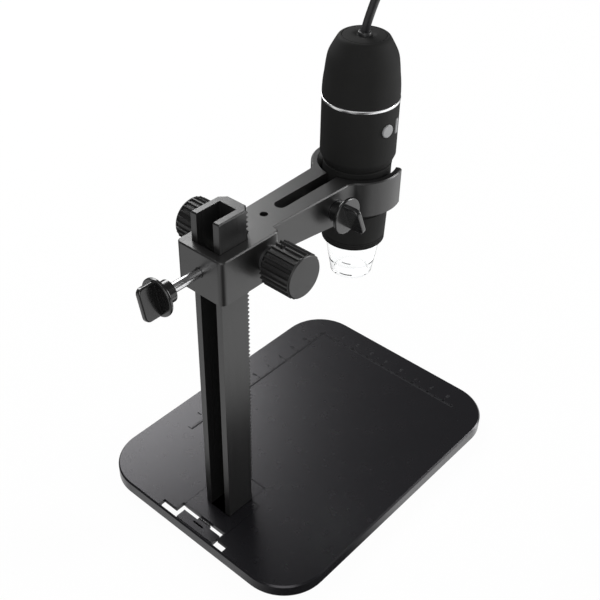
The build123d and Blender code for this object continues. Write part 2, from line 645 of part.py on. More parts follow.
def rack_strip():
    """Toothed strip let into the front of the column."""
    slope = tan(radians(PRESSURE_ANGLE))
    half = (PITCH - BACKLASH) / 4
    tip = half - ADDENDUM * slope
    root = half + (RACK_ROOT_Y - PITCH_LINE_Y) * slope
    back = COLUMN_FRONT_Y + RACK_INLAY
    points = [(back, RACK_TOP_Z), (back, RACK_BOTTOM_Z)]
    first = ceil((RACK_BOTTOM_Z + root - PINION_Z) / PITCH)
    last = int((RACK_TOP_Z - root - PINION_Z) / PITCH)
    for number in range(first, last + 1):
        middle = PINION_Z + number * PITCH
        points += [(RACK_ROOT_Y, middle - root), (RACK_TIP_Y, middle - tip),
                   (RACK_TIP_Y, middle + tip), (RACK_ROOT_Y, middle + root)]
    points.insert(2, (RACK_ROOT_Y, RACK_BOTTOM_Z))
    points.append((RACK_ROOT_Y, RACK_TOP_Z))
    face = make_face(Plane.YZ * Polyline(*points, close=True))
    return extrude(Pos(-RACK_HALF_WIDTH, 0, 0) * face, RACK_HALF_WIDTH * 2, dir=(1, 0, 0))


def release_latch():
    """Tab behind the foot; pressing its front edge down frees the foot."""
    low = BASE_HEIGHT - LATCH_THICK
    body = block(LATCH_RIGHT_X, LATCH_LEFT_X, LATCH_FRONT_Y, LATCH_REAR_Y, low, BASE_HEIGHT)
    body -= block(-LATCH_SIGHT_HALF, LATCH_SIGHT_HALF, LATCH_SIGHT_FRONT_Y,
                  LATCH_SIGHT_FRONT_Y + LATCH_SIGHT_DEPTH, low - OVERRUN, BASE_HEIGHT + OVERRUN)
    front = FOOT_REAR_Y + LATCH_GAP
    body += block(-LATCH_BLOCK_HALF, LATCH_BLOCK_HALF, front, LATCH_FRONT_Y + LATCH_SIGHT_DEPTH,
                  LATCH_BLOCK_BOTTOM_Z, LATCH_BLOCK_TOP_Z)
    hub = LATCH_PIN_RADIUS + LATCH_PIN_WALL
    for x in (LATCH_EAR_X, -LATCH_EAR_X - LATCH_EAR):
        body += block(x, x + LATCH_EAR, LATCH_PIVOT_Y - hub, LATCH_PIVOT_Y + hub / 2, LATCH_PIVOT_Z, low)
        body += rod_x(hub, x, x + LATCH_EAR, LATCH_PIVOT_Y, LATCH_PIVOT_Z)
    reach = LATCH_EAR_X + LATCH_EAR
    return body + rod_x(LATCH_PIN_RADIUS, -reach, reach, LATCH_PIVOT_Y, LATCH_PIVOT_Z)


# Carriage, arm and collar

def arm_outline():
    """Outline of the arm and of the open collar at its end, seen from above."""
    far = AXIS_Y
    points = [(ARM_ROOT_HALF, CARRIAGE_FRONT_Y + CARRIAGE_CORNER), (ARM_COLLAR_HALF, ARM_END_Y),
              (ARM_COLLAR_HALF, far)]
    mirrored = [(-x, y) for x, y in reversed(points)]
    arm = make_face(Polyline(*points, *mirrored, close=True))
    whole = arm + Pos(0, AXIS_Y, 0) * Circle(COLLAR_RADIUS)
    joins = [v for v in whole.vertices() if AXIS_Y < v.Y < AXIS_Y + COLLAR_RADIUS]
    whole = fillet(joins, ARM_FILLET)
    reach = 2 * COLLAR_RADIUS
    side = reach * sin(radians(COLLAR_MOUTH_HALF))
    front = AXIS_Y - reach * cos(radians(COLLAR_MOUTH_HALF))
    mouth = make_face(Polyline((0, AXIS_Y), (side, front), (side, AXIS_Y - reach), (-side, AXIS_Y - reach),
                               (-side, front), close=True))
    jaws = whole - mouth
    tips = [v for v in jaws.vertices() if v.Y < AXIS_Y - OVERRUN and abs(v.X) > GRIP_RADIUS]
    return fillet(tips, COLLAR_JAW_EDGE)


def carriage_block():
    """The block that rides on the column."""
    wide = CARRIAGE_HALF_WIDTH
    body = block(-wide, wide, CARRIAGE_FRONT_Y, CARRIAGE_REAR_Y, CARRIAGE_BOTTOM_Z, CARRIAGE_TOP_Z)
    body = fillet(vertical_edges(body), CARRIAGE_CORNER)
    return body


def carriage_arm():
    """Carriage block, arm and split collar, moulded in one."""
    height = CARRIAGE_TOP_Z - CARRIAGE_BOTTOM_Z
    arm = extrude(Pos(0, 0, CARRIAGE_BOTTOM_Z) * arm_outline(), height)
    low = CARRIAGE_BOTTOM_Z - OVERRUN
    root_y = CARRIAGE_FRONT_Y + CARRIAGE_CORNER + OVERRUN
    end_y = AXIS_Y - COLLAR_RADIUS - OVERRUN
    under = Polyline((root_y, low), (root_y, ARM_ROOT_BOTTOM_Z), (ARM_LEVEL_Y, COLLAR_BOTTOM_Z),
                     (end_y, COLLAR_BOTTOM_Z), (end_y, low), close=True)
    arm -= extrude(Plane.YZ * make_face(under), COLLAR_RADIUS + OVERRUN, both=True)
    arm = chamfer(arm.edges().group_by(Axis.Z)[-1], CARRIAGE_EDGE)
    block_solid = chamfer(carriage_block().edges().group_by(Axis.Z)[-1], CARRIAGE_EDGE)
    body = arm + block_solid
    body -= AXIS * post(COLLAR_MOUTH_RADIUS, COLLAR_GRIP_TOP_Z, CARRIAGE_TOP_Z + OVERRUN)
    grip = GRIP_RADIUS + RUNNING_GAP
    body -= AXIS * post(grip, low, CARRIAGE_TOP_Z)
    body -= block(-SLOT_HALF, SLOT_HALF, AXIS_Y, SLOT_END_Y - SLOT_HALF, low, CARRIAGE_TOP_Z + OVERRUN)
    body -= post(SLOT_HALF, low, CARRIAGE_TOP_Z + OVERRUN, 0, SLOT_END_Y - SLOT_HALF)
    hole_low = CARRIAGE_TOP_Z - MOULD_HOLE_DEPTH
    body -= post(MOULD_HOLE_RADIUS, hole_low, CARRIAGE_TOP_Z + OVERRUN, 0, MOULD_HOLE_Y)
    body -= extrude(Pos(0, 0, low) * column_outline(SLIDE_GAP), height + 2 * OVERRUN)
    body -= block(-RACK_HALF_WIDTH - SLIDE_GAP, RACK_HALF_WIDTH + SLIDE_GAP, RACK_TIP_Y - RACK_RELIEF,
                  COLUMN_FRONT_Y, low, CARRIAGE_TOP_Z + OVERRUN)
    wide = CARRIAGE_HALF_WIDTH + OVERRUN
    body -= rod_x(BUSH_RADIUS + SEAT_GAP, -wide, wide, PINION_Y, PINION_Z)
    body -= insert_pocket()
    body -= clamp_cuts()
    return body


def insert_pocket():
    """Seat of the threaded insert and the way out for the lock screw."""
    inner = COLUMN_REAR_Y + SLIDE_GAP
    seat = rod_y(INSERT_RADIUS + SEAT_GAP, inner - OVERRUN, inner + INSERT_LENGTH, 0, LOCK_Z)
    return seat + rod_y(STUD_RADIUS + SLIDE_GAP, inner, CARRIAGE_REAR_Y + OVERRUN, 0, LOCK_Z)


def clamp_cuts():
    """Cross bore of the clamp screw with its nut pocket and washer face."""
    wide = COLLAR_RADIUS
    cut = rod_x(STUD_RADIUS + SLIDE_GAP, -wide, wide, CLAMP_Y, CLAMP_Z)
    inner = ARM_COLLAR_HALF - NUT_SINK
    cut += hexagon(NUT_FLATS_HALF + SEAT_GAP, inner, wide)
    cut += rod_x(WING_COLLAR_RADIUS + LOOSE_GAP, -wide, -washer_face(), CLAMP_Y, CLAMP_Z)
    return cut


def washer_face():
    """Distance from the middle plane to the spot face under the washer."""
    along = (CARRIAGE_FRONT_Y + CARRIAGE_CORNER - CLAMP_Y) / (CARRIAGE_FRONT_Y + CARRIAGE_CORNER - ARM_END_Y)
    half = ARM_ROOT_HALF + (ARM_COLLAR_HALF - ARM_ROOT_HALF) * along
    return half - CARRIAGE_EDGE


def hexagon(half_flats, x0, x1):
    """A hexagonal prism along X on the clamp screw's axis."""
    outline = RegularPolygon(half_flats / cos(pi / 6), 6)
    return Pos(x0, CLAMP_Y, CLAMP_Z) * extrude(Plane.YZ * outline, x1 - x0)


def lock_insert():
    """Threaded brass insert for the lock screw."""
    inner = COLUMN_REAR_Y + SLIDE_GAP
    outer = inner + INSERT_LENGTH
    body = rod_y(INSERT_RADIUS, inner, outer, 0, LOCK_Z)
    return body - rod_y(STUD_RADIUS + RUNNING_GAP, inner - OVERRUN, outer + OVERRUN, 0, LOCK_Z)


def shaft_bushes():
    """Two flanged bushes that carry the pinion shaft."""
    wide = CARRIAGE_HALF_WIDTH
    group = []
    for side in (-1, 1):
        inner, face = side * BUSH_INNER_X, side * wide
        outer = side * (wide + BUSH_FLANGE)
        body = rod_x(BUSH_RADIUS, min(inner, face), max(inner, face), PINION_Y, PINION_Z)
        body += rod_x(BUSH_FLANGE_RADIUS, min(face, outer), max(face, outer), PINION_Y, PINION_Z)
        body -= rod_x(SHAFT_RADIUS + RUNNING_GAP, min(inner, outer) - OVERRUN, max(inner, outer) + OVERRUN,
                      PINION_Y, PINION_Z)
        group.append(body)
    return Compound(children=group)


# Pinion and focus knobs

def pinion_gear():
    """Small gear in mesh with the rack, one gap between teeth facing it."""
    slope = tan(radians(PRESSURE_ANGLE))
    half = (PITCH - BACKLASH) / 4
    tip_half = half - ADDENDUM * slope
    root_half = half + DEDENDUM * slope
    tip_radius = PITCH_RADIUS + ADDENDUM
    root_radius = PITCH_RADIUS - DEDENDUM
    step = 2 * pi / PINION_TEETH
    points = []
    for number in range(PINION_TEETH):
        middle = (number + 0.5) * step
        for radius, width in ((root_radius, -root_half), (tip_radius, -tip_half),
                              (tip_radius, tip_half), (root_radius, root_half)):
            angle = middle + atan2(width, radius)
            points.append((radius * cos(angle), radius * sin(angle)))
    face = make_face(Plane.YZ * Polyline(*points, close=True))
    body = extrude(Pos(-PINION_HALF_WIDTH, 0, 0) * face, PINION_HALF_WIDTH * 2, dir=(1, 0, 0))
    body = Pos(0, PINION_Y, PINION_Z) * body
    wide = PINION_HALF_WIDTH + OVERRUN
    return body - rod_x(SHAFT_RADIUS + SEAT_GAP, -wide, wide, PINION_Y, PINION_Z)


def pinion_shaft():
    """Cross shaft with a knob at each end."""
    reach = KNOB_HUB_X + KNOB_SHAFT_DEPTH
    return rod_x(SHAFT_RADIUS, -reach, reach, PINION_Y, PINION_Z)


def focus_knob(side):
    """Ribbed knob with a flat end, on the side given by its sign."""
    step = 2 * pi / KNOB_RIBS
    half = step * KNOB_RIB_SHARE / 2
    crest = half * KNOB_RIB_SHARE
    points = []
    for number in range(KNOB_RIBS):
        middle = number * step
        for turn, radius in ((-half, KNOB_ROOT_RADIUS), (-crest, KNOB_RADIUS),
                             (crest, KNOB_RADIUS), (half, KNOB_ROOT_RADIUS)):
            angle = middle + turn
            points.append((radius * cos(angle), radius * sin(angle)))
    face = make_face(Plane.YZ * Polyline(*points, close=True))
    body = extrude(Pos(KNOB_INNER_X, 0, 0) * face, KNOB_OUTER_X - KNOB_CAP - KNOB_INNER_X, dir=(1, 0, 0))
    body += rod_x(KNOB_CAP_RADIUS, KNOB_OUTER_X - KNOB_CAP, KNOB_OUTER_X, 0, 0)
    body = chamfer(body.edges().group_by(Axis.X)[-1], KNOB_CAP / 2)
    body += rod_x(KNOB_HUB_RADIUS, KNOB_HUB_X, KNOB_INNER_X, 0, 0)
    bore_end = KNOB_HUB_X + KNOB_SHAFT_DEPTH + SEAT_GAP
    body -= rod_x(SHAFT_RADIUS + SEAT_GAP, KNOB_HUB_X - OVERRUN, bore_end, 0, 0)
    body -= post(GRUB_RADIUS + SEAT_GAP, 0, KNOB_RADIUS + OVERRUN, GRUB_X, 0)
    if side < 0:
        body = Rot(0, 0, 180) * body
    return Pos(0, PINION_Y, PINION_Z) * body


def knob_grub_screws():
    """One grub screw in each knob, sunk to the shaft."""
    group = [post(GRUB_RADIUS, SHAFT_RADIUS + SEAT_GAP, KNOB_ROOT_RADIUS - GRUB_RADIUS, x, 0)
             for x in (-GRUB_X, GRUB_X)]
    return Pos(0, PINION_Y, PINION_Z) * Compound(children=group)


# Wing knobs and their screws

def wing_knob():
    """Wing knob along +Z from its collar face: a disc with a blade that stands wide in Y."""
    body = post(WING_COLLAR_RADIUS, 0, WING_COLLAR)
    disc_top = WING_COLLAR + WING_DISC
    disc = post(WING_DISC_RADIUS, WING_COLLAR, disc_top)
    body += fillet(disc.edges().filter_by(GeomType.CIRCLE), WING_DISC_EDGE)
    top = disc_top + WING_DEPTH
    blade = block(-WING_THICK / 2, WING_THICK / 2, -WING_HEIGHT / 2, WING_HEIGHT / 2,
                  WING_COLLAR + WING_DISC / 2, top)
    blade = fillet(blade.edges().filter_by(Axis.X).group_by(Axis.Z)[-1], WING_CORNER)
    blade = fillet(blade.edges().group_by(Axis.X)[0] + blade.edges().group_by(Axis.X)[-1], WING_EDGE)
    body += blade
    return body - post(STUD_RADIUS + SEAT_GAP, -OVERRUN, WING_STUD_DEPTH + SEAT_GAP)


def lock_knob():
    """Wing knob behind the carriage."""
    return Pos(0, LOCK_KNOB_Y, LOCK_Z) * Rot(-90, 0, 0) * Rot(0, 0, LOCK_TURN) * wing_knob()


def lock_screw():
    """Steel screw that reaches through the channel to the web of the column."""
    tip = COLUMN_FRONT_Y + COLUMN_WEB + LOOSE_GAP + LOCK_TIP_LENGTH - LOCK_TIP_POCKET
    return rod_y(STUD_RADIUS, tip, LOCK_KNOB_Y + WING_STUD_DEPTH, 0, LOCK_Z)


def lock_tip():
    """Nylon tip that presses on the column when the screw is tight."""
    front = COLUMN_FRONT_Y + COLUMN_WEB + LOOSE_GAP
    rear = front + LOCK_TIP_LENGTH
    body = rod_y(LOCK_TIP_RADIUS, front, rear, 0, LOCK_Z)
    return body - rod_y(STUD_RADIUS + SEAT_GAP, rear - LOCK_TIP_POCKET, rear + OVERRUN, 0, LOCK_Z)


def clamp_knob():
    """Wing knob beside the collar."""
    face = washer_face() + WASHER_THICK
    return Pos(-face, CLAMP_Y, CLAMP_Z) * Rot(0, -90, 0) * Rot(0, 0, 90 + CLAMP_TURN) * wing_knob()


def clamp_screw():
    """Steel screw across the split of the collar."""
    face = washer_face() + WASHER_THICK
    return rod_x(STUD_RADIUS, -face - WING_STUD_DEPTH, ARM_COLLAR_HALF, CLAMP_Y, CLAMP_Z)


def clamp_washer():
    """Washer under the clamp knob."""
    inner = -washer_face()
    outer = inner - WASHER_THICK
    body = rod_x(WASHER_RADIUS, outer, inner, CLAMP_Y, CLAMP_Z)
    return body - rod_x(STUD_RADIUS + RUNNING_GAP, outer - OVERRUN, inner + OVERRUN, CLAMP_Y, CLAMP_Z)


def clamp_nut():
    """Hexagonal nut held in the other cheek of the split."""
    inner = ARM_COLLAR_HALF - NUT_SINK
    outer = inner + NUT_THICK
    body = hexagon(NUT_FLATS_HALF, inner, outer)
    return body - rod_x(STUD_RADIUS + RUNNING_GAP, inner - OVERRUN, outer + OVERRUN, CLAMP_Y, CLAMP_Z)


# Microscope housings

def grip_sleeve():
    """Neck of the microscope, held by the collar."""
    body = post(GRIP_RADIUS, SLEEVE_BOTTOM_Z, SLEEVE_TOP_Z)
    lip = post(LIP_RADIUS, SLEEVE_TOP_Z - LIP, SLEEVE_TOP_Z)
    body += chamfer(lip.edges().group_by(Axis.Z)[0], LIP_RADIUS - GRIP_RADIUS)
    body -= post(GRIP_RADIUS - SLEEVE_WALL, SLEEVE_BOTTOM_Z - OVERRUN, SLEEVE_TOP_Z + OVERRUN)
    return AXIS * body


def board_screw_places():
    """Places of the main board's screws about the optical axis."""
    angles = [2 * pi * (number + 1 / 2) / BOARD_SCREWS for number in range(BOARD_SCREWS)]
    return [(BOARD_SCREW_RING * cos(angle), BOARD_SCREW_RING * sin(angle)) for angle in angles]


def lower_housing():
    """Lower casing with its floor, board ledge and button wells."""
    bore = HOUSING_RADIUS - HOUSING_WALL
    ledge_low = BOARD_Z - BOARD_LEDGE
    ledge_bore = BOARD_SCREW_RING - BOARD_SCREW_HEAD_RADIUS
    floor_top = SLEEVE_TOP_Z + LOWER_FLOOR
    body = turned([(LOWER_FLOOR_BORE, SLEEVE_TOP_Z), (LOWER_BOTTOM_RADIUS, SLEEVE_TOP_Z),
                   (HOUSING_RADIUS, LOWER_CHAMFER_Z), (HOUSING_RADIUS, LOWER_TOP_Z), (bore, LOWER_TOP_Z),
                   (bore, BOARD_Z), (ledge_bore, BOARD_Z), (ledge_bore, ledge_low), (bore, floor_top),
                   (LOWER_FLOOR_BORE, floor_top)])
    body -= Rot(0, 0, SNAPSHOT_ANGLE) * round_well()
    body -= Rot(0, 0, ZOOM_ANGLE) * bar_well()
    for x, y in board_screw_places():
        body -= post(BOARD_SCREW_RADIUS + SEAT_GAP, ledge_low, BOARD_Z + OVERRUN, x, y)
    return AXIS * body


def round_well():
    """Stepped hole for the round button, along +X from the optical axis."""
    seat = HOUSING_RADIUS + BUTTON_PROUD - BUTTON_HEAD - BUTTON_TRAVEL - BUTTON_GAP
    head = rod_x(BUTTON_RADIUS + BUTTON_GAP, seat, HOUSING_RADIUS + OVERRUN, 0, BUTTON_Z)
    return head + rod_x(BUTTON_STEM_RADIUS + BUTTON_GAP, 0, seat + OVERRUN, 0, BUTTON_Z)


def bar_well():
    """Stepped hole for the bar button, along +X from the optical axis."""
    seat = HOUSING_RADIUS + BAR_PROUD - BUTTON_HEAD - BUTTON_TRAVEL - BUTTON_GAP
    wide = BAR_HALF_WIDTH + BUTTON_GAP
    tall = BAR_HALF_HEIGHT + BUTTON_GAP
    head = block(seat, HOUSING_RADIUS + OVERRUN, -wide, wide, BUTTON_Z - tall, BUTTON_Z + tall)
    return head + rod_x(BAR_STEM_RADIUS + BUTTON_GAP, 0, seat + OVERRUN, 0, BUTTON_Z)


def button_stem(stem_radius, flange_radius, outer):
    """Stem of a button with the flange that keeps it in the casing, along +X."""
    flange_outer = sqrt((HOUSING_RADIUS - HOUSING_WALL) ** 2 - flange_radius ** 2) - BUTTON_GAP
    stem = rod_x(stem_radius, flange_outer, outer, 0, BUTTON_Z)
    return stem + rod_x(flange_radius, flange_outer - BUTTON_FLANGE, flange_outer, 0, BUTTON_Z)


def snapshot_button():
    """Round button that takes a picture."""
    face = HOUSING_RADIUS + BUTTON_PROUD
    head = rod_x(BUTTON_RADIUS, face - BUTTON_HEAD, face, 0, BUTTON_Z)
    head = chamfer(head.edges().group_by(Axis.X)[-1], BUTTON_HEAD / 4)
    stem = button_stem(BUTTON_STEM_RADIUS, BUTTON_FLANGE_RADIUS, face - BUTTON_HEAD)
    return AXIS * Rot(0, 0, SNAPSHOT_ANGLE) * (head + stem)


def zoom_button():
    """Slim upright bar button that steps the zoom."""
    face = HOUSING_RADIUS + BAR_PROUD
    head = block(face - BUTTON_HEAD, face, -BAR_HALF_WIDTH, BAR_HALF_WIDTH, BUTTON_Z - BAR_HALF_HEIGHT,
                 BUTTON_Z + BAR_HALF_HEIGHT)
    head = chamfer(head.edges().group_by(Axis.X)[-1], BAR_EDGE)
    stem = button_stem(BAR_STEM_RADIUS, BAR_FLANGE_RADIUS, face - BUTTON_HEAD)
    return AXIS * Rot(0, 0, ZOOM_ANGLE) * (head + stem)


def tact_switches():
    """The two switches behind the buttons."""
    group = []
    for angle in (SNAPSHOT_ANGLE, ZOOM_ANGLE):
        outer = SWITCH_BOARD_RADIUS + SWITCH_BODY
        body = block(SWITCH_BOARD_RADIUS, outer, -SWITCH_HALF, SWITCH_HALF, BUTTON_Z - SWITCH_HALF,
                     BUTTON_Z + SWITCH_HALF)
        body += rod_x(SWITCH_PLUNGER_RADIUS, outer, outer + SWITCH_PLUNGER, 0, BUTTON_Z)
        group.append(AXIS * Rot(0, 0, angle) * body)
    return Compound(children=group)


def switch_board():
    """Curved flexible board that carries the switches."""
    inner = SWITCH_BOARD_RADIUS - SWITCH_BOARD_THICK
    low = BOARD_Z + BOARD_THICK
    body = tube(SWITCH_BOARD_RADIUS, inner, low, SWITCH_BOARD_TOP_Z)
    middle = (SNAPSHOT_ANGLE + ZOOM_ANGLE) / 2
    reach = HOUSING_RADIUS * 2
    half = radians(SWITCH_BOARD_SPREAD / 2)
    corner = reach / cos(half)
    wedge = make_face(Polyline((0, 0), (corner * cos(half), -corner * sin(half)),
                               (corner * cos(half), corner * sin(half)), close=True))
    sector = extrude(Pos(0, 0, low - OVERRUN) * wedge, SWITCH_BOARD_TOP_Z - low + 2 * OVERRUN)
    return AXIS * Rot(0, 0, middle) * (body & sector)


def trim_ring():
    """Bright ring between the two casings."""
    bore = HOUSING_RADIUS - HOUSING_WALL
    ring = post(HOUSING_RADIUS + TRIM_PROUD, LOWER_TOP_Z, LOWER_TOP_Z + TRIM_HEIGHT)
    ring = chamfer(ring.edges(), TRIM_PROUD)
    return AXIS * (ring - post(bore, LOWER_TOP_Z - OVERRUN, LOWER_TOP_Z + TRIM_HEIGHT + OVERRUN))


def upper_housing():
    """Upper casing with a spigot below and a seat for the cap."""
    bore = HOUSING_RADIUS - HOUSING_WALL
    spigot = bore - SEAT_GAP
    inner = spigot - SPIGOT_WALL
    spigot_low = LOWER_TOP_Z - SPIGOT_DEPTH
    seat_z = CAP_SEAM_Z - CAP_THICK
    cap_bore = CAP_RADIUS + SEAT_GAP
    ledge_bore = CAP_RADIUS - CAP_LEDGE
    body = turned([(inner, spigot_low), (spigot, spigot_low), (spigot, UPPER_BOTTOM_Z),
                   (HOUSING_RADIUS, UPPER_BOTTOM_Z),
                   (UPPER_KNEE_RADIUS, UPPER_KNEE_Z), (UPPER_HIP_RADIUS, UPPER_HIP_Z),
                   (UPPER_CROWN_RADIUS, UPPER_CROWN_Z), (cap_bore, CAP_SEAM_Z), (cap_bore, seat_z),
                   (ledge_bore, seat_z), (ledge_bore, seat_z - CAP_THICK),
                   (UPPER_HIP_RADIUS - HOUSING_WALL, UPPER_HIP_Z - HOUSING_WALL),
                   (inner, UPPER_KNEE_Z)])
    return AXIS * body


def cap_dome_radius():
    """Radius of the sphere that the cap's crown is part of."""
    rise = CAP_TOP_Z - CAP_SEAM_Z
    return (CAP_RADIUS ** 2 + rise ** 2) / (2 * rise)


def top_cap():
    """Low cap with the cord's gland in its middle."""
    seat_z = CAP_SEAM_Z - CAP_THICK
    body = post(CAP_RADIUS, seat_z, CAP_TOP_Z)
    dome = Pos(0, 0, CAP_TOP_Z - cap_dome_radius()) * Sphere(cap_dome_radius())
    body = body & dome
    body -= post(GLAND_RADIUS + SEAT_GAP, seat_z - OVERRUN, CAP_TOP_Z + OVERRUN)
    return AXIS * body


def cable_gland():
    """Rubber sleeve that holds the cord in the cap."""
    top = CAP_TOP_Z + GLAND_PROUD
    seat_z = CAP_SEAM_Z - CAP_THICK
    body = post(GLAND_RADIUS, top - GLAND_LENGTH, top)
    body += post(GLAND_FLANGE_RADIUS, seat_z - GLAND_FLANGE, seat_z)
    return AXIS * (body - post(CORD_RADIUS + SEAT_GAP, top - GLAND_LENGTH - OVERRUN, top + OVERRUN))


def cord_tail():
    """The end of the cord inside the casing."""
    top = CAP_TOP_Z + GLAND_PROUD
    return AXIS * post(CORD_RADIUS, top - CORD_TAIL, top)


# Boards and optics

def main_board():
    """Round circuit board on the ledge of the lower casing."""
    body = post(BOARD_RADIUS, BOARD_Z, BOARD_Z + BOARD_THICK)
    for x, y in board_screw_places():
        body -= post(BOARD_SCREW_RADIUS + SEAT_GAP, BOARD_Z - OVERRUN, BOARD_Z + BOARD_THICK + OVERRUN, x, y)
    return AXIS * body


def board_screws():
    """Screws of the main board."""
    top = BOARD_Z + BOARD_THICK
    low = BOARD_Z - BOARD_LEDGE + SCREW_BLIND
    group = [post(BOARD_SCREW_RADIUS, low, top, x, y)
             + post(BOARD_SCREW_HEAD_RADIUS, top, top + BOARD_SCREW_HEAD, x, y)
             for x, y in board_screw_places()]
    return AXIS * Compound(children=group)


def image_sensor():
    """Image sensor under the main board."""
    return AXIS * block(-SENSOR_HALF, SENSOR_HALF, -SENSOR_HALF, SENSOR_HALF, BOARD_Z - SENSOR_THICK, BOARD_Z)


def lens_tube():
    """Inner tube from the board down to the lights, with the slot of the drive pin."""
    body = tube(TUBE_RADIUS, TUBE_BORE, TUBE_BOTTOM_Z, BOARD_Z)
    reach = DRIVE_PIN_RADIUS + SLIDE_GAP
    low = DRIVE_PIN_Z - DRIVE_SLOT_TRAVEL - reach
    high = DRIVE_PIN_Z + DRIVE_SLOT_TRAVEL + reach
    body -= block(0, TUBE_RADIUS + OVERRUN, -reach, reach, low, high)
    return AXIS * body


def lens_carrier():
    """Cell of the objective, with the pin that drives it."""
    outer = TUBE_BORE - CARRIER_GAP
    top = CARRIER_BOTTOM_Z + CARRIER_LENGTH
    seat = CARRIER_BOTTOM_Z + LENS_SEAT
    body = post(outer, CARRIER_BOTTOM_Z, top)
    body -= post(LENS_RADIUS + SEAT_GAP, seat, top + OVERRUN)
    body -= post(LENS_RADIUS - LENS_STOP, CARRIER_BOTTOM_Z - OVERRUN, seat + OVERRUN)
    body += rod_x(DRIVE_PIN_RADIUS, (LENS_RADIUS + outer) / 2, DRIVE_PIN_REACH, 0, DRIVE_PIN_Z)
    return AXIS * body


def objective_lens():
    """Objective, flat below and domed above."""
    seat = CARRIER_BOTTOM_Z + LENS_SEAT
    crown = LENS_RADIUS * 2
    body = post(LENS_RADIUS, seat, seat + LENS_THICK)
    return AXIS * (body & (Pos(0, 0, seat + LENS_THICK - crown) * Sphere(crown)))


def led_board():
    """Ring board of the lights, under the inner tube."""
    low = TUBE_BOTTOM_Z - BOARD_THICK
    return AXIS * tube(LED_BOARD_RADIUS, LED_BOARD_BORE, low, TUBE_BOTTOM_Z)


def leds():
    """Eight lights round the objective, shining down."""
    top = TUBE_BOTTOM_Z - BOARD_THICK
    group = []
    for number in range(LED_COUNT):
        angle = 2 * pi * number / LED_COUNT
        lamp = post(LED_RADIUS, top - LED_HEIGHT, top, LED_RING * cos(angle), LED_RING * sin(angle))
        group.append(AXIS * lamp)
    return Compound(children=group)


def barrel_radius(z):
    """Outer radius of the focus barrel at a height."""
    share = (z - BARREL_BOTTOM_Z) / (BARREL_TOP_Z - BARREL_BOTTOM_Z)
    return BARREL_BOTTOM_RADIUS + (BARREL_TOP_RADIUS - BARREL_BOTTOM_RADIUS) * share


def focus_barrel():
    """Turning nose that moves the objective; it runs on the inner tube."""
    run = TUBE_RADIUS + RUNNING_GAP
    outline = [(BARREL_BORE, BARREL_BOTTOM_Z)]
    for number in range(BARREL_GROOVES):
        low = BARREL_BOTTOM_Z + (number + 0.5) * BARREL_GROOVE_PITCH
        high = low + BARREL_GROOVE_WIDTH
        if number == 0:
            outline.append((BARREL_BOTTOM_RADIUS, BARREL_BOTTOM_Z))
        outline += [(barrel_radius(low), low), (barrel_radius(low) - BARREL_GROOVE_DEPTH, low),
                    (barrel_radius(high) - BARREL_GROOVE_DEPTH, high), (barrel_radius(high), high)]
    collar_low = BARREL_TOP_Z - BARREL_COLLAR
    outline += [(BARREL_TOP_RADIUS, BARREL_TOP_Z), (run, BARREL_TOP_Z),
                (run, collar_low), (BARREL_BORE, collar_low)]
    return AXIS * turned(outline)


def clear_tip():
    """Clear cone that sets the distance to what is looked at."""
    top = BARREL_BOTTOM_Z + TIP_SEAT
    rim = BARREL_BORE - SEAT_GAP
    shelf_top = TIP_SHELF_Z + TIP_SHELF
    inner_shoulder = TIP_SHOULDER_RADIUS - TIP_WALL
    inner_bottom = TIP_BOTTOM_RADIUS - TIP_WALL

    def bore_at(z):
        share = (z - TIP_BOTTOM_Z) / (TIP_SHOULDER_Z - TIP_BOTTOM_Z)
        return inner_bottom + (inner_shoulder - inner_bottom) * share

    lip_top = TIP_BOTTOM_Z + TIP_LIP
    outline = [(inner_bottom - TIP_LIP, TIP_BOTTOM_Z), (TIP_BOTTOM_RADIUS, TIP_BOTTOM_Z),
               (TIP_SHOULDER_RADIUS, TIP_SHOULDER_Z), (rim, BARREL_BOTTOM_Z), (rim, top),
               (rim - TIP_WALL, top), (rim - TIP_WALL, BARREL_BOTTOM_Z), (inner_shoulder, TIP_SHOULDER_Z),
               (bore_at(shelf_top), shelf_top), (TIP_SHELF_BORE, shelf_top), (TIP_SHELF_BORE, TIP_SHELF_Z),
               (bore_at(TIP_SHELF_Z), TIP_SHELF_Z), (bore_at(lip_top), lip_top),
               (inner_bottom - TIP_LIP, lip_top)]
    return AXIS * turned(outline)


# Cord

def arc_radii(points):
    """Radius at each corner of a route: as large as its two runs allow."""
    radii = []
    for before, corner, after in zip(points, points[1:], points[2:]):
        run_in, run_out = Vector(corner) - Vector(before), Vector(after) - Vector(corner)
        shorter = min(run_in.length, run_out.length)
        radii.append(ARC_RUN_SHARE * shorter / tan(radians(run_in.get_angle(run_out)) / 2))
    return radii


def route_tube(points, name):
    """A tube of the cord's size along straight runs joined by tangent arcs."""
    radii = arc_radii(points)
    path = FilletPolyline(*points, radius=radii)
    start = Plane(origin=points[0], z_dir=Vector(points[1]) - Vector(points[0]))
    body = sweep(start * Circle(CORD_RADIUS), path=path)
    ideal = pi * CORD_RADIUS ** 2 * path.length
    print(name, "arc radii", [round(r, 1) for r in radii], "length", round(path.length, 1),
          "volume share", round(body.volume / ideal, 5))
    return body


def coil_base_z():
    """Height of the lower layer's middle, on the tie."""
    return TIE_THICK + TIE_GAP + CORD_RADIUS


def coil_inner():
    """Radius of the coil's middle line where it turns back."""
    return COIL_OUTER - COIL_PITCH * COIL_TURNS_IN


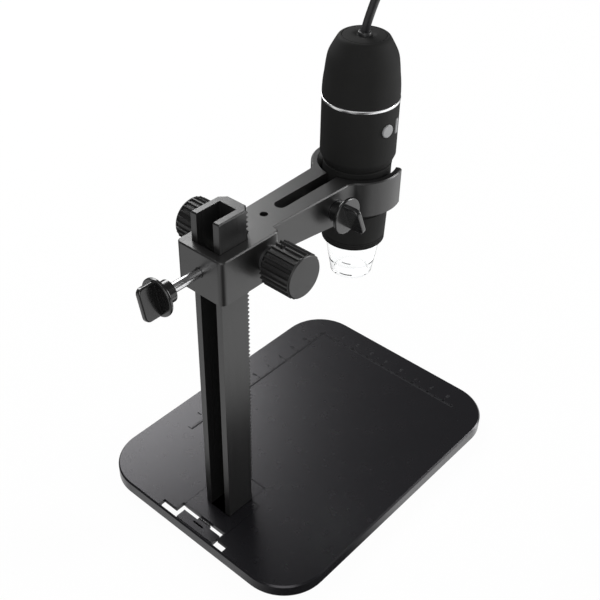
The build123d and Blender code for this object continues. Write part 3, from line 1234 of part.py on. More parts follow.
def coil_point(turn):
    """Place on the coil after a number of turns, and its direction."""
    slope = COIL_PITCH * (-1 if turn < COIL_TURNS_IN else 1)
    if abs(turn - COIL_TURNS_IN) < COIL_CLIMB_TURN / 8:
        slope = 0
    radius = coil_inner() + COIL_PITCH * abs(turn - COIL_TURNS_IN)
    share = min(max((turn - COIL_TURNS_IN) / COIL_CLIMB_TURN + 1 / 2, 0), 1)
    height = coil_base_z() + COIL_PITCH * share * share * (3 - 2 * share)
    rise = COIL_PITCH * 6 * share * (1 - share) / COIL_CLIMB_TURN
    angle = 2 * pi * (turn + COIL_START_TURN)
    place = Vector(COIL_X + radius * cos(angle), COIL_Y + radius * sin(angle), height)
    around = 2 * pi * radius
    outward = Vector(cos(angle), sin(angle), 0)
    forward = Vector(-sin(angle), cos(angle), 0)
    direction = outward * slope + forward * around + Vector(0, 0, rise)
    return place, direction.normalized()


def biarc(start, start_dir, end, end_dir):
    """Two arcs that join two places and keep their directions."""
    across = end - start
    total = start_dir + end_dir
    a = 2 * (1 - start_dir.dot(end_dir))
    b = 2 * across.dot(total)
    c = -across.dot(across)
    reach = (-b + sqrt(b * b - 4 * a * c)) / (2 * a)
    meeting = (start + start_dir * reach + end - end_dir * reach) * 0.5
    first = TangentArc(start, meeting, tangent=start_dir)
    second = TangentArc(meeting, end, tangent=first % 1)
    return [first, second]


def coil_nodes():
    """Places and directions at the quarter turns of the coil."""
    total = COIL_TURNS_IN + COIL_TURNS_OUT
    count = round(total * 4)
    return [coil_point(total * number / count) for number in range(count + 1)]


def cord_coil():
    """The spare cord, wound in two layers as one tube."""
    nodes = coil_nodes()
    (first, first_dir), (last, last_dir) = nodes[0], nodes[-1]
    start = first - first_dir * CORD_END
    edges = [Line(start, first)]
    for (a, a_dir), (b, b_dir) in zip(nodes, nodes[1:]):
        edges += biarc(a, a_dir, b, b_dir)
    edges.append(Line(last, last + last_dir * CORD_END))
    path = Wire(edges)
    body = sweep(Plane(origin=start, z_dir=first_dir) * Circle(CORD_RADIUS), path=path)
    ideal = pi * CORD_RADIUS ** 2 * path.length
    print("coil length", round(path.length, 1), "volume share", round(body.volume / ideal, 5),
          "least gap", round(coil_gap(path), 3))
    return body


def coil_gap(path):
    """Least gap between turns, measured on points along the tube's middle."""
    points = [path @ (n / COIL_CHECK_POINTS) for n in range(COIL_CHECK_POINTS + 1)]
    away = ceil(2 * coil_inner() / (path.length / COIL_CHECK_POINTS))
    pairs = ((a, b) for i, a in enumerate(points) for b in points[i + away:])
    return min((a - b).length for a, b in pairs) - 2 * CORD_RADIUS


def plug_route():
    """Route from the coil, in a quarter bend and down, to the plug, which points along +X."""
    last, last_dir = coil_nodes()[-1]
    place = last + last_dir * CORD_END
    points = [place, place + last_dir * PLUG_LEAD_RUN]
    drop = (place.Z - PLUG_HEIGHT / 2) / (PLUG_LEAD_BENDS - 1)
    for number in range(1, PLUG_LEAD_BENDS + 1):
        heading = pi / 2 * (number / PLUG_LEAD_BENDS - 1)
        fall = drop if number < PLUG_LEAD_BENDS else 0
        points.append(points[-1] + Vector(PLUG_LEAD_RUN * cos(heading), PLUG_LEAD_RUN * sin(heading), -fall))
    return points


def plug_start():
    """Where the cord enters the plug."""
    return plug_route()[-1]


def plug_lead():
    """Short free stretch from the coil to the plug."""
    return route_tube([tuple(p) for p in plug_route()], "plug lead")


def cord_lead():
    """The cord from the cap, over the arm's side and down to the coil."""
    first, first_dir = coil_nodes()[0]
    landing = first - first_dir * CORD_END
    run_in = landing - first_dir * CORD_LANDING
    x, y, z = 0, AXIS_Y, CAP_TOP_Z + GLAND_PROUD
    rise = [(x + dx, y + dy, z + dz) for dx, dy, dz in CORD_RISE]
    return route_tube([(x, y, z), *rise, *CORD_FALL, tuple(run_in), tuple(landing)], "cord lead")


def cord_tie():
    """Band round one side of the coil."""
    half = TIE_WIDTH / 2
    inner = sqrt((coil_inner() - CORD_RADIUS) ** 2 - half ** 2) - TIE_GAP
    outer = COIL_OUTER + CORD_RADIUS + TIE_GAP
    low = coil_base_z() - CORD_RADIUS - TIE_GAP
    top = coil_base_z() + COIL_PITCH + CORD_RADIUS + TIE_GAP
    body = block(inner - TIE_THICK, outer + TIE_THICK, -half, half, low - TIE_THICK, top + TIE_THICK)
    body -= block(inner, outer, -half - OVERRUN, half + OVERRUN, low, top)
    return Pos(COIL_X, COIL_Y, 0) * body


def plug_overmould():
    """Moulded grip of the plug, narrower where the cord enters."""
    start = plug_start()
    outline = Plane.YZ * RectangleRounded(PLUG_WIDTH, PLUG_HEIGHT, PLUG_CORNER)
    grip = Pos(PLUG_TAPER, 0, 0) * extrude(outline, PLUG_LENGTH - PLUG_TAPER)
    neck = rod_x(PLUG_NECK_RADIUS, 0, PLUG_TAPER, 0, 0)
    body = grip + neck
    body -= block(PLUG_LENGTH - PLUG_TAPER, PLUG_LENGTH + OVERRUN, -SHELL_WIDTH / 2 - SEAT_GAP,
                  SHELL_WIDTH / 2 + SEAT_GAP, -SHELL_HEIGHT / 2 - SEAT_GAP, SHELL_HEIGHT / 2 + SEAT_GAP)
    return Pos(*start) * body


def plug_shell():
    """Metal shell of the plug, open at its end."""
    start = plug_start()
    x0 = PLUG_LENGTH - PLUG_TAPER
    x1 = PLUG_LENGTH + SHELL_LENGTH
    body = block(x0, x1, -SHELL_WIDTH / 2, SHELL_WIDTH / 2, -SHELL_HEIGHT / 2, SHELL_HEIGHT / 2)
    body -= block(x0 + SHELL_WALL, x1 + OVERRUN, -SHELL_WIDTH / 2 + SHELL_WALL, SHELL_WIDTH / 2 - SHELL_WALL,
                  -SHELL_HEIGHT / 2 + SHELL_WALL, SHELL_HEIGHT / 2 - SHELL_WALL)
    return Pos(*start) * body


def plug_tongue():
    """Plastic tongue with the contacts, on the upper side of the plug's mouth."""
    start = plug_start()
    top = SHELL_HEIGHT / 2 - SHELL_WALL
    x0 = PLUG_LENGTH - PLUG_TAPER + SHELL_WALL
    x1 = PLUG_LENGTH + SHELL_LENGTH - TONGUE_SHORT
    return Pos(*start) * block(x0, x1, -TONGUE_WIDTH / 2, TONGUE_WIDTH / 2, top - TONGUE_THICK, top)


PARTS = {
    "base_shell": base_shell,
    "ballast_plate": ballast_plate,
    "ballast_screws": ballast_screws,
    "base_pad": base_pad,
    "rear_feet": rear_feet,
    "column_foot": column_foot,
    "column": column,
    "column_screws": column_screws,
    "rack_strip": rack_strip,
    "release_latch": release_latch,
    "carriage_arm": carriage_arm,
    "lock_insert": lock_insert,
    "shaft_bushes": shaft_bushes,
    "pinion_gear": pinion_gear,
    "pinion_shaft": pinion_shaft,
    "focus_knob_left": lambda: focus_knob(-1),
    "focus_knob_right": lambda: focus_knob(1),
    "knob_grub_screws": knob_grub_screws,
    "lock_knob": lock_knob,
    "lock_screw": lock_screw,
    "lock_tip": lock_tip,
    "clamp_knob": clamp_knob,
    "clamp_screw": clamp_screw,
    "clamp_washer": clamp_washer,
    "clamp_nut": clamp_nut,
    "grip_sleeve": grip_sleeve,
    "lower_housing": lower_housing,
    "snapshot_button": snapshot_button,
    "zoom_button": zoom_button,
    "tact_switches": tact_switches,
    "switch_board": switch_board,
    "trim_ring": trim_ring,
    "upper_housing": upper_housing,
    "top_cap": top_cap,
    "cable_gland": cable_gland,
    "cord_tail": cord_tail,
    "main_board": main_board,
    "board_screws": board_screws,
    "image_sensor": image_sensor,
    "lens_tube": lens_tube,
    "lens_carrier": lens_carrier,
    "objective_lens": objective_lens,
    "led_board": led_board,
    "leds": leds,
    "focus_barrel": focus_barrel,
    "clear_tip": clear_tip,
    "cord_lead": cord_lead,
    "cord_coil": cord_coil,
    "cord_tie": cord_tie,
    "plug_lead": plug_lead,
    "plug_overmould": plug_overmould,
    "plug_shell": plug_shell,
    "plug_tongue": plug_tongue,
}

for name, make in PARTS.items():
    export_step(make(), f"parts/{name}.step")
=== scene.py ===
import logging
from dataclasses import dataclass
from enum import Enum
from functools import cache
from math import cos, pi, radians, sin

import bpy
from mathutils import Euler, Matrix, Vector


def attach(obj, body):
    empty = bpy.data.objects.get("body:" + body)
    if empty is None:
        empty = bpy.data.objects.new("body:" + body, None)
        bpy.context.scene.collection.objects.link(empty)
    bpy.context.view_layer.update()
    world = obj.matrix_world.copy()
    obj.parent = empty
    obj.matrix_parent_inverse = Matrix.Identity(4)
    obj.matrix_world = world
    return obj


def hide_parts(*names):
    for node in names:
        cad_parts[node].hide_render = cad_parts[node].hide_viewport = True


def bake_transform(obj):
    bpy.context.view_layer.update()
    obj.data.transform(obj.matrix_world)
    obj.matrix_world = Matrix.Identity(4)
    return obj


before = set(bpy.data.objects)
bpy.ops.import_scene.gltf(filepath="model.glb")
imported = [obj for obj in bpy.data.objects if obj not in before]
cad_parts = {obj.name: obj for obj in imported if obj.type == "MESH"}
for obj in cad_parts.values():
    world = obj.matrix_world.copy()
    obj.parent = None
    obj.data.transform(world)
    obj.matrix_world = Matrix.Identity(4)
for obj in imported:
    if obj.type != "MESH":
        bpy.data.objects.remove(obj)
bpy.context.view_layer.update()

LOG = logging.getLogger("microscope")
MM = 0.001
AXIS_Y = -26.0            # the optical axis stands at X = 0, in millimetres
MERGE = 2e-6              # nearer points of a mesh are made one, in metres
FLAT = 0.4                # faces that meet at less are made one, in degrees
FINE_EDGE = 24.0          # least angle of a sharp edge on small pieces, in degrees
PLAIN_EDGE = 30.0         # the same on most pieces
TURNED_EDGE = 34.0        # the same on turned pieces
RIBBED_EDGE = 40.0        # the same on ribbed pieces and the cord
WHITE = (1.0, 1.0, 1.0, 1.0)

Point = tuple[float, float, float]
Plan = tuple[float, float]
Profile = tuple[Plan, ...]
Box = tuple[Point, Point]
Colour = tuple[float, float, float]
Piece = bpy.types.Object
Material = bpy.types.Material
Node = bpy.types.Node
Socket = bpy.types.NodeSocket
Tree = bpy.types.NodeTree
Inputs = dict[str | int, object]    # a plain value or the output that feeds it, for each socket's name or number


class Body(Enum):
    """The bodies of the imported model."""

    STAND = "stand"
    LATCH = "latch"
    CARRIAGE = "carriage"
    PINION = "pinion"
    LOCK = "lock"
    CLAMP = "clamp"
    MICROSCOPE = "microscope"
    SNAPSHOT = "snapshot"
    ZOOM = "zoom"
    FOCUS_RING = "focus_ring"


class Ends(Enum):
    """How a turned piece is closed."""

    RING = "ring"         # its outline runs back to its first point
    SOLID = "solid"       # a flat face at each end


class Parts(Enum):
    """What is selected in edit mode."""

    POINTS = (True, False, False)
    EDGES = (False, True, False)
    FACES = (False, False, True)


# Nodes

def feed(tree: Tree, node: Node, inputs: Inputs) -> None:
    """Fill the inputs of a node.

    Args:
        tree: The node tree.
        node: The node.
        inputs: What its inputs get.
    """
    for socket, value in inputs.items():
        if isinstance(value, Socket):
            tree.links.new(value, node.inputs[socket])
        else:
            node.inputs[socket].default_value = value


def add_node(tree: Tree, kind: str, inputs: Inputs, **settings: object) -> Node:
    """Add a node to a tree.

    Args:
        tree: The node tree.
        kind: Its type, without the prefix that all share.
        inputs: What its inputs get.
        settings: The node's own settings.

    Returns:
        The node.
    """
    node = tree.nodes.new(f"ShaderNode{kind}")
    for name, value in settings.items():
        setattr(node, name, value)
    feed(tree, node, inputs)
    return node


def calc(tree: Tree, operation: str, *values: Socket | float) -> Socket:
    """Calculate with outputs and numbers."""
    return add_node(tree, "Math", dict(enumerate(values)), operation=operation).outputs[0]


class NodeSheet:
    """The nodes of one material, on the coordinates of the object."""

    def __init__(self, name: str) -> None:
        """Start a material.

        Args:
            name: Name of the material.
        """
        self.material = bpy.data.materials.new(name)
        self.material.use_nodes = True
        self.tree = self.material.node_tree
        self.shader = self.tree.nodes["Principled BSDF"]
        self.place = add_node(self.tree, "TexCoord", {}).outputs["Object"]

    def set(self, **inputs: object) -> None:
        """Fill the shader's inputs, named with an underscore for each space."""
        feed(self.tree, self.shader, {name.replace("_", " "): value for name, value in inputs.items()})

    def noise(self, scale: float, detail: float = 3.0, stretch: Point = (1.0, 1.0, 1.0)) -> Socket:
        """A noise pattern.

        Args:
            scale: Features per metre.
            detail: Number of finer layers.
            stretch: Factor along each axis.

        Returns:
            The output with the noise.
        """
        place = add_node(self.tree, "Mapping", {"Scale": stretch, "Vector": self.place}).outputs["Vector"]
        inputs = {"Scale": scale, "Detail": detail, "Vector": place}
        return add_node(self.tree, "TexNoise", inputs).outputs["Fac"]

    def borders(self, scale: float) -> Socket:
        """Distance to the borders of a pattern of cells.

        Args:
            scale: Cells per metre.

        Returns:
            The output with the distance.
        """
        inputs = {"Scale": scale, "Vector": self.place}
        return add_node(self.tree, "TexVoronoi", inputs, feature="DISTANCE_TO_EDGE").outputs["Distance"]

    def spread(self, source: Socket, low: float, high: float, start: float = 0.3, end: float = 0.7) -> Socket:
        """Bring a pattern to a range.

        Args:
            source: The pattern.
            low: Result at the start.
            high: Result at the end.
            start: Value of the pattern that gives low.
            end: Value of the pattern that gives high.

        Returns:
            The output with the new range.
        """
        inputs = {"Value": source, "From Min": start, "From Max": end, "To Min": low, "To Max": high}
        return add_node(self.tree, "MapRange", inputs).outputs["Result"]

    def mix(self, factor: Socket, first: Colour, second: Colour) -> Socket:
        """Mix two colours by a pattern.

        Args:
            factor: The pattern, from 0 to 1.
            first: Colour at 0.
            second: Colour at 1.

        Returns:
            The output with the colour.
        """
        inputs = {0: factor, 6: (*first, 1.0), 7: (*second, 1.0)}    # 6 and 7 are the sockets for colours
        return add_node(self.tree, "Mix", inputs, data_type="RGBA").outputs[2]

    def tint(self, pattern: Socket, colour: Colour, spread: float) -> None:
        """Colour the surface with small differences.

        Args:
            pattern: The pattern that it varies by.
            colour: Its middle colour.
            spread: Share by which it gets darker and lighter.
        """
        dark = tuple(c * (1 - spread) for c in colour)
        light = tuple(min(c * (1 + spread), 1.0) for c in colour)
        self.set(Base_Color=self.mix(self.spread(pattern, 0.0, 1.0), dark, light))

    def rough(self, pattern: Socket, low: float, high: float) -> None:
        """Let a pattern vary the roughness between two values."""
        self.set(Roughness=self.spread(pattern, low, high))

    def relief(self, height: Socket, depth: float) -> None:
        """Raise the surface by a pattern.

        Args:
            height: The pattern.
            depth: Its depth in millimetres.
        """
        bump = add_node(self.tree, "Bump", {"Strength": 1.0, "Distance": depth * MM, "Height": height})
        self.set(Normal=bump.outputs["Normal"])


# Finishes

@dataclass(frozen=True)
class Finish:
    """A finish of the object: its name and its middle colour."""

    name: str
    colour: Colour

    def fill(self, sheet: NodeSheet) -> None:
        """Lay out the finish."""
        raise NotImplementedError

    def make(self) -> Material:
        """Build the material.

        Returns:
            The material.
        """
        sheet = NodeSheet(self.name)
        self.fill(sheet)
        return sheet.material


@dataclass(frozen=True)
class MouldedPlastic(Finish):
    """Moulded plastic with a fine grain from its tool."""

    roughness: float
    grain: float
    depth: float = 0.004
    shade: float = 0.12
    shine: float = 0.5
    vary: float = 0.015
    gleam: Colour = (1.0, 1.0, 1.0)

    def fill(self, sheet: NodeSheet) -> None:
        """Lay out the finish.

        Args:
            sheet: Its nodes.
        """
        sheet.tint(sheet.noise(scale=38.0, detail=5.0), self.colour, self.shade)
        sheet.rough(sheet.noise(scale=160.0, detail=4.0), self.roughness - self.vary, self.roughness + self.vary)
        sheet.relief(sheet.noise(self.grain, detail=2.0), self.depth)
        sheet.set(Specular_IOR_Level=self.shine, Specular_Tint=(*self.gleam, 1.0))


@dataclass(frozen=True)
class PolishedPlastic(Finish):
    """Glossy plastic with the faint waves of its moulding."""

    roughness: float

    def fill(self, sheet: NodeSheet) -> None:
        """Lay out the finish.

        Args:
            sheet: Its nodes.
        """
        sheet.tint(sheet.noise(scale=90.0, detail=4.0), self.colour, spread=0.15)
        sheet.rough(sheet.noise(scale=420.0, detail=4.0), self.roughness - 0.03, self.roughness + 0.05)
        sheet.relief(sheet.noise(scale=260.0, detail=2.0), depth=0.02)
        sheet.set(Coat_Weight=0.35, Coat_Roughness=0.12)


@dataclass(frozen=True)
class DrawnMetal(Finish):
    """Anodised profile with the lines of its die along Z."""

    roughness: float

    def fill(self, sheet: NodeSheet) -> None:
        """Lay out the finish.

        Args:
            sheet: Its nodes.
        """
        lines = sheet.noise(scale=1.0, detail=4.0, stretch=(2600.0, 2600.0, 9.0))
        sheet.tint(lines, self.colour, spread=0.18)
        sheet.rough(lines, self.roughness - 0.05, self.roughness + 0.06)
        sheet.relief(lines, depth=0.003)
        sheet.set(Specular_IOR_Level=0.62)


@dataclass(frozen=True)
class TurnedMetal(Finish):
    """Bright metal with fine rings from the lathe across its axis."""

    roughness: float
    stretch: Point
    depth: float = 0.0015

    def fill(self, sheet: NodeSheet) -> None:
        """Lay out the finish.

        Args:
            sheet: Its nodes.
        """
        rings = sheet.noise(scale=1.0, detail=3.0, stretch=self.stretch)
        sheet.tint(sheet.noise(scale=240.0, detail=4.0), self.colour, spread=0.07)
        sheet.rough(rings, self.roughness - 0.05, self.roughness + 0.07)
        sheet.relief(rings, self.depth)
        sheet.set(Metallic=1.0)


@dataclass(frozen=True)
class Rubber(Finish):
    """Soft matt rubber or a cord's jacket."""

    roughness: float
    grain: float = 3800.0

    def fill(self, sheet: NodeSheet) -> None:
        """Lay out the finish.

        Args:
            sheet: Its nodes.
        """
        sheet.tint(sheet.noise(scale=60.0, detail=5.0), self.colour, spread=0.2)
        sheet.rough(sheet.noise(scale=300.0, detail=4.0), self.roughness - 0.06, self.roughness + 0.06)
        sheet.relief(sheet.noise(self.grain, detail=3.0), depth=0.008)
        sheet.set(Sheen_Weight=0.08, Sheen_Roughness=0.4)


@dataclass(frozen=True)
class ClearPlastic(Finish):
    """Clear plastic or glass, with its refraction and the film on it in nanometres."""

    bend: float
    film: float = 0.0

    def fill(self, sheet: NodeSheet) -> None:
        """Lay out the finish.

        Args:
            sheet: Its nodes.
        """
        flow = sheet.noise(scale=120.0, detail=3.0)
        sheet.tint(flow, self.colour, spread=0.01)
        sheet.rough(flow, 0.0, 0.03)
        sheet.relief(sheet.noise(scale=210.0, detail=2.0), depth=0.006)
        sheet.set(Transmission_Weight=1.0, IOR=self.bend, Thin_Film_Thickness=self.film)


@dataclass(frozen=True)
class CircuitBoard(Finish):
    """Solder mask over copper tracks."""

    track: Colour

    def fill(self, sheet: NodeSheet) -> None:
        """Lay out the finish.

        Args:
            sheet: Its nodes.
        """
        line = sheet.spread(sheet.borders(scale=620.0), 1.0, 0.0, start=0.04, end=0.09)
        sheet.set(Base_Color=sheet.mix(line, self.colour, self.track))
        sheet.rough(sheet.noise(scale=500.0, detail=3.0), 0.3, 0.42)
        sheet.relief(line, depth=0.03)


@dataclass(frozen=True)
class PrintedInk(Finish):
    """Ink of the ruler on the base, a shade off the plastic round it."""

    roughness: float

    def fill(self, sheet: NodeSheet) -> None:
        """Lay out the finish.

        Args:
            sheet: Its nodes.
        """
        sheet.tint(sheet.noise(scale=900.0, detail=3.0), self.colour, spread=0.2)
        sheet.rough(sheet.noise(scale=2200.0, detail=3.0), self.roughness - 0.05, self.roughness + 0.05)
        sheet.relief(sheet.noise(scale=5000.0, detail=2.0), depth=0.003)
        sheet.set(Specular_IOR_Level=0.1)


@dataclass(frozen=True)
class WovenBand(Finish):
    """Woven strap with its threads along two axes."""

    def fill(self, sheet: NodeSheet) -> None:
        """Lay out the finish.

        Args:
            sheet: Its nodes.
        """
        threads = sheet.noise(scale=1.0, detail=2.0, stretch=(2400.0, 700.0, 2400.0))
        sheet.tint(threads, self.colour, spread=0.35)
        sheet.rough(threads, 0.7, 0.9)
        sheet.relief(threads, depth=0.08)
        sheet.set(Sheen_Weight=0.4, Sheen_Roughness=0.5)


class Look(Enum):
    """Every finish of the object."""

    BASE = MouldedPlastic("base_plastic", (0.008, 0.0078, 0.0092), 0.27, 6500.0, depth=0.003, shade=0.06,
                          shine=0.42, vary=0.006, gleam=(0.97, 0.95, 1.0))
    ARM = MouldedPlastic("arm_plastic", (0.01, 0.0098, 0.0098), 0.36, 5200.0, depth=0.005, shine=0.8)
    KNOB = MouldedPlastic("knob_plastic", (0.014, 0.0138, 0.0138), 0.42, 5200.0, depth=0.006)
    WING = PolishedPlastic("wing_plastic", (0.008, 0.008, 0.008), 0.22)
    CASING = MouldedPlastic("casing_plastic", (0.0145, 0.0145, 0.0142), 0.74, 5600.0, depth=0.005, shade=0.1,
                            shine=0.14)
    BUTTON = MouldedPlastic("button_plastic", (0.28, 0.283, 0.287), 0.4, 4200.0, shade=0.03)
    TRIM = TurnedMetal("trim_metal", (0.86, 0.86, 0.87), 0.26, (60.0, 60.0, 5200.0), depth=0.0008)
    CLEAR = ClearPlastic("tip_plastic", (0.985, 0.99, 0.99), bend=1.14)
    GLASS = ClearPlastic("lens_glass", (0.95, 0.97, 1.0), bend=1.62, film=420.0)
    COLUMN = DrawnMetal("column_anodised", (0.01, 0.01, 0.01), 0.32)
    RACK = PolishedPlastic("rack_plastic", (0.02, 0.02, 0.02), 0.34)
    BRASS = TurnedMetal("gear_brass", (0.72, 0.53, 0.24), 0.28, (2600.0, 60.0, 60.0))
    SCREW_Y = TurnedMetal("lock_steel", (0.74, 0.74, 0.75), 0.2, (40.0, 3600.0, 40.0))
    SCREW_X = TurnedMetal("cross_steel", (0.68, 0.68, 0.69), 0.24, (3600.0, 40.0, 40.0))
    SCREW_Z = TurnedMetal("upright_steel", (0.62, 0.62, 0.63), 0.28, (40.0, 40.0, 3600.0))
    BALLAST = TurnedMetal("ballast_zinc", (0.42, 0.43, 0.45), 0.42, (300.0, 2400.0, 300.0), depth=0.003)
    SHELL = TurnedMetal("plug_nickel", (0.7, 0.7, 0.71), 0.28, (60.0, 900.0, 900.0), depth=0.0004)
    BUSH = PolishedPlastic("bush_plastic", (0.035, 0.035, 0.036), 0.32)
    NYLON = MouldedPlastic("white_nylon", (0.78, 0.78, 0.74), 0.45, 3600.0, depth=0.006, shade=0.04)
    PAD = Rubber("pad_foam", (0.03, 0.03, 0.03), 0.85, 1500.0)
    JACKET = Rubber("cord_jacket", (0.012, 0.012, 0.013), 0.42)
    BOARD = CircuitBoard("board_mask", (0.012, 0.13, 0.05), (0.06, 0.28, 0.1))
    CHIP = MouldedPlastic("chip_package", (0.03, 0.03, 0.032), 0.5, 2600.0, depth=0.01)
    LAMP = MouldedPlastic("lamp_resin", (0.86, 0.84, 0.7), 0.25, 1500.0, depth=0.003, shade=0.06)
    OPTIC = MouldedPlastic("optic_black", (0.012, 0.012, 0.012), 0.6, 3200.0, depth=0.012)
    INK = PrintedInk("ruler_ink", (0.03, 0.03, 0.032), 0.75)
    STRAP = WovenBand("tie_weave", (0.02, 0.02, 0.021))
    GOLD = TurnedMetal("contact_gold", (0.9, 0.66, 0.27), 0.2, (60.0, 2600.0, 60.0))


@cache
def material_of(look: Look) -> Material:
    """The material of a finish, built at its first use."""
    return look.value.make()


# Bench work

def deselect() -> None:
    """Leave edit mode and select nothing."""
    if bpy.context.object and bpy.context.object.mode != "OBJECT":
        bpy.ops.object.mode_set(mode="OBJECT")
    bpy.ops.object.select_all(action="DESELECT")


def pick(obj: Piece) -> None:
    """Select one object and make it active.

    Args:
        obj: The object.
    """
    deselect()
    obj.select_set(True)
    bpy.context.view_layer.objects.active = obj


def edit(obj: Piece, parts: Parts) -> None:
    """Enter edit mode with what was selected in code.

    Args:
        obj: The object.
        parts: What is selected.
    """
    pick(obj)
    bpy.context.tool_settings.mesh_select_mode = parts.value
    bpy.ops.object.mode_set(mode="EDIT")


def settle(obj: Piece) -> None:
    """Put an object's place, turn and scale into its mesh."""
    pick(obj)
    bpy.ops.object.transform_apply(location=True, rotation=True, scale=True)


def turned(name: str, profile: Profile, ends: Ends, centre: Point = (0.0, AXIS_Y, 0.0),
           segments: int = 128) -> Piece:
    """Turn an outline about an upright axis, ring by ring.

    Args:
        name: Name of the piece.
        profile: Radii and heights in millimetres.
        ends: How the piece is closed.
        centre: Place of the axis in millimetres.
        segments: Faces round the axis.

    Returns:
        The piece, with its place in its mesh.
    """
    deselect()
    radius, height = profile[0]
    fill = "NOTHING" if ends is Ends.RING else "NGON"
    bpy.ops.mesh.primitive_circle_add(vertices=segments, radius=radius * MM, fill_type=fill)
    obj = bpy.context.object
    obj.name = name
    edit(obj, Parts.POINTS)
    bpy.ops.mesh.select_all(action="SELECT")
    bpy.ops.transform.translate(value=(0, 0, height * MM))
    for next_radius, next_height in [*profile[1:], profile[0]] if ends is Ends.RING else profile[1:]:
        move = {"value": (0, 0, (next_height - height) * MM)}
        bpy.ops.mesh.extrude_region_move(TRANSFORM_OT_translate=move)
        ratio = next_radius / radius
        bpy.ops.transform.resize(value=(ratio, ratio, 1), center_override=(0, 0, 0))
        radius, height = next_radius, next_height
    bpy.ops.mesh.select_all(action="SELECT")
    bpy.ops.mesh.remove_doubles(threshold=MERGE)
    bpy.ops.mesh.normals_make_consistent(inside=False)
    bpy.ops.object.mode_set(mode="OBJECT")
    obj.location = Vector(centre) * MM
    settle(obj)
    smooth(obj, TURNED_EDGE)
    return obj


def block(name: str, low: Point, high: Point) -> Piece:
    """A plain block to shape further.

    Args:
        name: Name of the piece.
        low: Lowest corner in millimetres.
        high: Highest corner in millimetres.

    Returns:
        The block, with its place in its mesh.
    """
    deselect()
    bpy.ops.mesh.primitive_cube_add(size=1.0)
    obj = bpy.context.object
    obj.name = name
    obj.location = (Vector(low) + Vector(high)) * (MM / 2)
    obj.scale = (Vector(high) - Vector(low)) * MM
    settle(obj)
    return obj


def linked(name: str, data: bpy.types.ID) -> Piece:
    """A new object in the scene.

    Args:
        name: Name of the object.
        data: Its mesh, curve, lamp or camera.

    Returns:
        The object.
    """
    obj = bpy.data.objects.new(name, data)
    bpy.context.scene.collection.objects.link(obj)
    return obj


def copy_of(node: str, name: str) -> Piece:
    """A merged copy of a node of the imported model, with its own mesh.

    Args:
        node: Name of the node.
        name: Name of the copy.

    Returns:
        The copy.
    """
    deselect()
    obj = linked(name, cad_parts[node].data.copy())
    pick(obj)
    bpy.ops.mesh.customdata_custom_splitnormals_clear()
    bpy.ops.object.mode_set(mode="EDIT")
    bpy.ops.mesh.select_all(action="SELECT")
    bpy.ops.mesh.remove_doubles(threshold=MERGE)
    bpy.ops.mesh.dissolve_limited(angle_limit=radians(FLAT))
    bpy.ops.object.mode_set(mode="OBJECT")
    return obj


def modify(obj: Piece, kind: str, **settings: object) -> None:
    """Add a modifier and apply it.

    Args:
        obj: The object.
        kind: Kind of modifier.
        settings: Its settings.
    """
    pick(obj)
    modifier = obj.modifiers.new(kind.title(), kind)
    for key, value in settings.items():
        setattr(modifier, key, value)
    bpy.ops.object.modifier_apply(modifier=modifier.name)


def cut(obj: Piece, cutter: Piece) -> None:
    """Take one object's shape out of another, and drop it."""
    modify(obj, "BOOLEAN", operation="DIFFERENCE", solver="EXACT", object=cutter)
    bpy.data.objects.remove(cutter)


def soften(obj: Piece, width: float, segments: int = 2, angle: float = PLAIN_EDGE) -> None:
    """Round the sharp edges and shade the rest smoothly.

    Args:
        obj: The object.
        width: Width of the rounding in millimetres.
        segments: Faces across the rounding.
        angle: Least angle of an edge that is rounded, in degrees.
    """
    modify(obj, "BEVEL", width=width * MM, segments=segments, limit_method="ANGLE",
           angle_limit=radians(angle), miter_outer="MITER_ARC", use_clamp_overlap=True)
    smooth(obj, angle)
    modify(obj, "WEIGHTED_NORMAL", mode="FACE_AREA", keep_sharp=True)


def smooth(obj: Piece, angle: float) -> None:
    """Shade an object smoothly, apart from edges sharper than an angle in degrees."""
    pick(obj)
    bpy.ops.object.shade_smooth_by_angle(angle=radians(angle))


def join(name: str, pieces: list[Piece]) -> Piece:
    """Join several meshes into one object.

    Args:
        name: Name of the result.
        pieces: The objects.

    Returns:
        The joined object.
    """
    pick(pieces[0])
    for piece in pieces:
        piece.select_set(True)
    bpy.ops.object.join()
    pieces[0].name = name
    return pieces[0]


def repeat(name: str, obj: Piece, moves: list[Matrix]) -> Piece:
    """Join an object with moved copies of itself.

    Args:
        name: Name of the result.
        obj: The object, which is the first of them.
        moves: Where each copy goes, from the first.

    Returns:
        The joined object.
    """
    group = [obj]
    for move in moves:
        twin = linked(obj.name, obj.data.copy())
        twin.matrix_world = move
        settle(twin)
        group.append(twin)
    return join(name, group)


def ride(obj: Piece, body: Body | None, slot: str, look: Look, *nodes: str) -> Piece:
    """Give a piece its finish and let it ride on a body, in place of some nodes.

    Args:
        obj: The piece.
        body: The body that it rides on, or None for a piece that joins two.
        slot: The record's material slot; not used.
        look: Its finish.
        nodes: Names of the nodes that it stands for.

    Returns:
        The piece.
    """
    obj.data.materials.clear()
    obj.data.materials.append(material_of(look))
    if nodes:
        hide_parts(*nodes)
    if body:
        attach(obj, body.value)
    LOG.info("%s is in place", obj.name)
    return obj


def mould(node: str, name: str, width: float, body: Body, slot: str, look: Look, segments: int = 2,
          angle: float = PLAIN_EDGE) -> Piece:
    """Put a copy of a node with rounded edges in its place.

    Args:
        node: Name of the node.
        name: Name of the piece.
        width: Width of the rounding in millimetres.
        body: The body that it rides on.
        slot: The record's material slot.
        look: Its finish.
        segments: Faces across the rounding.
        angle: Least angle of an edge that is rounded, in degrees.

    Returns:
        The piece.
    """
    piece = copy_of(node, name)
    soften(piece, width, segments, angle)
    return ride(piece, body, slot, look, node)


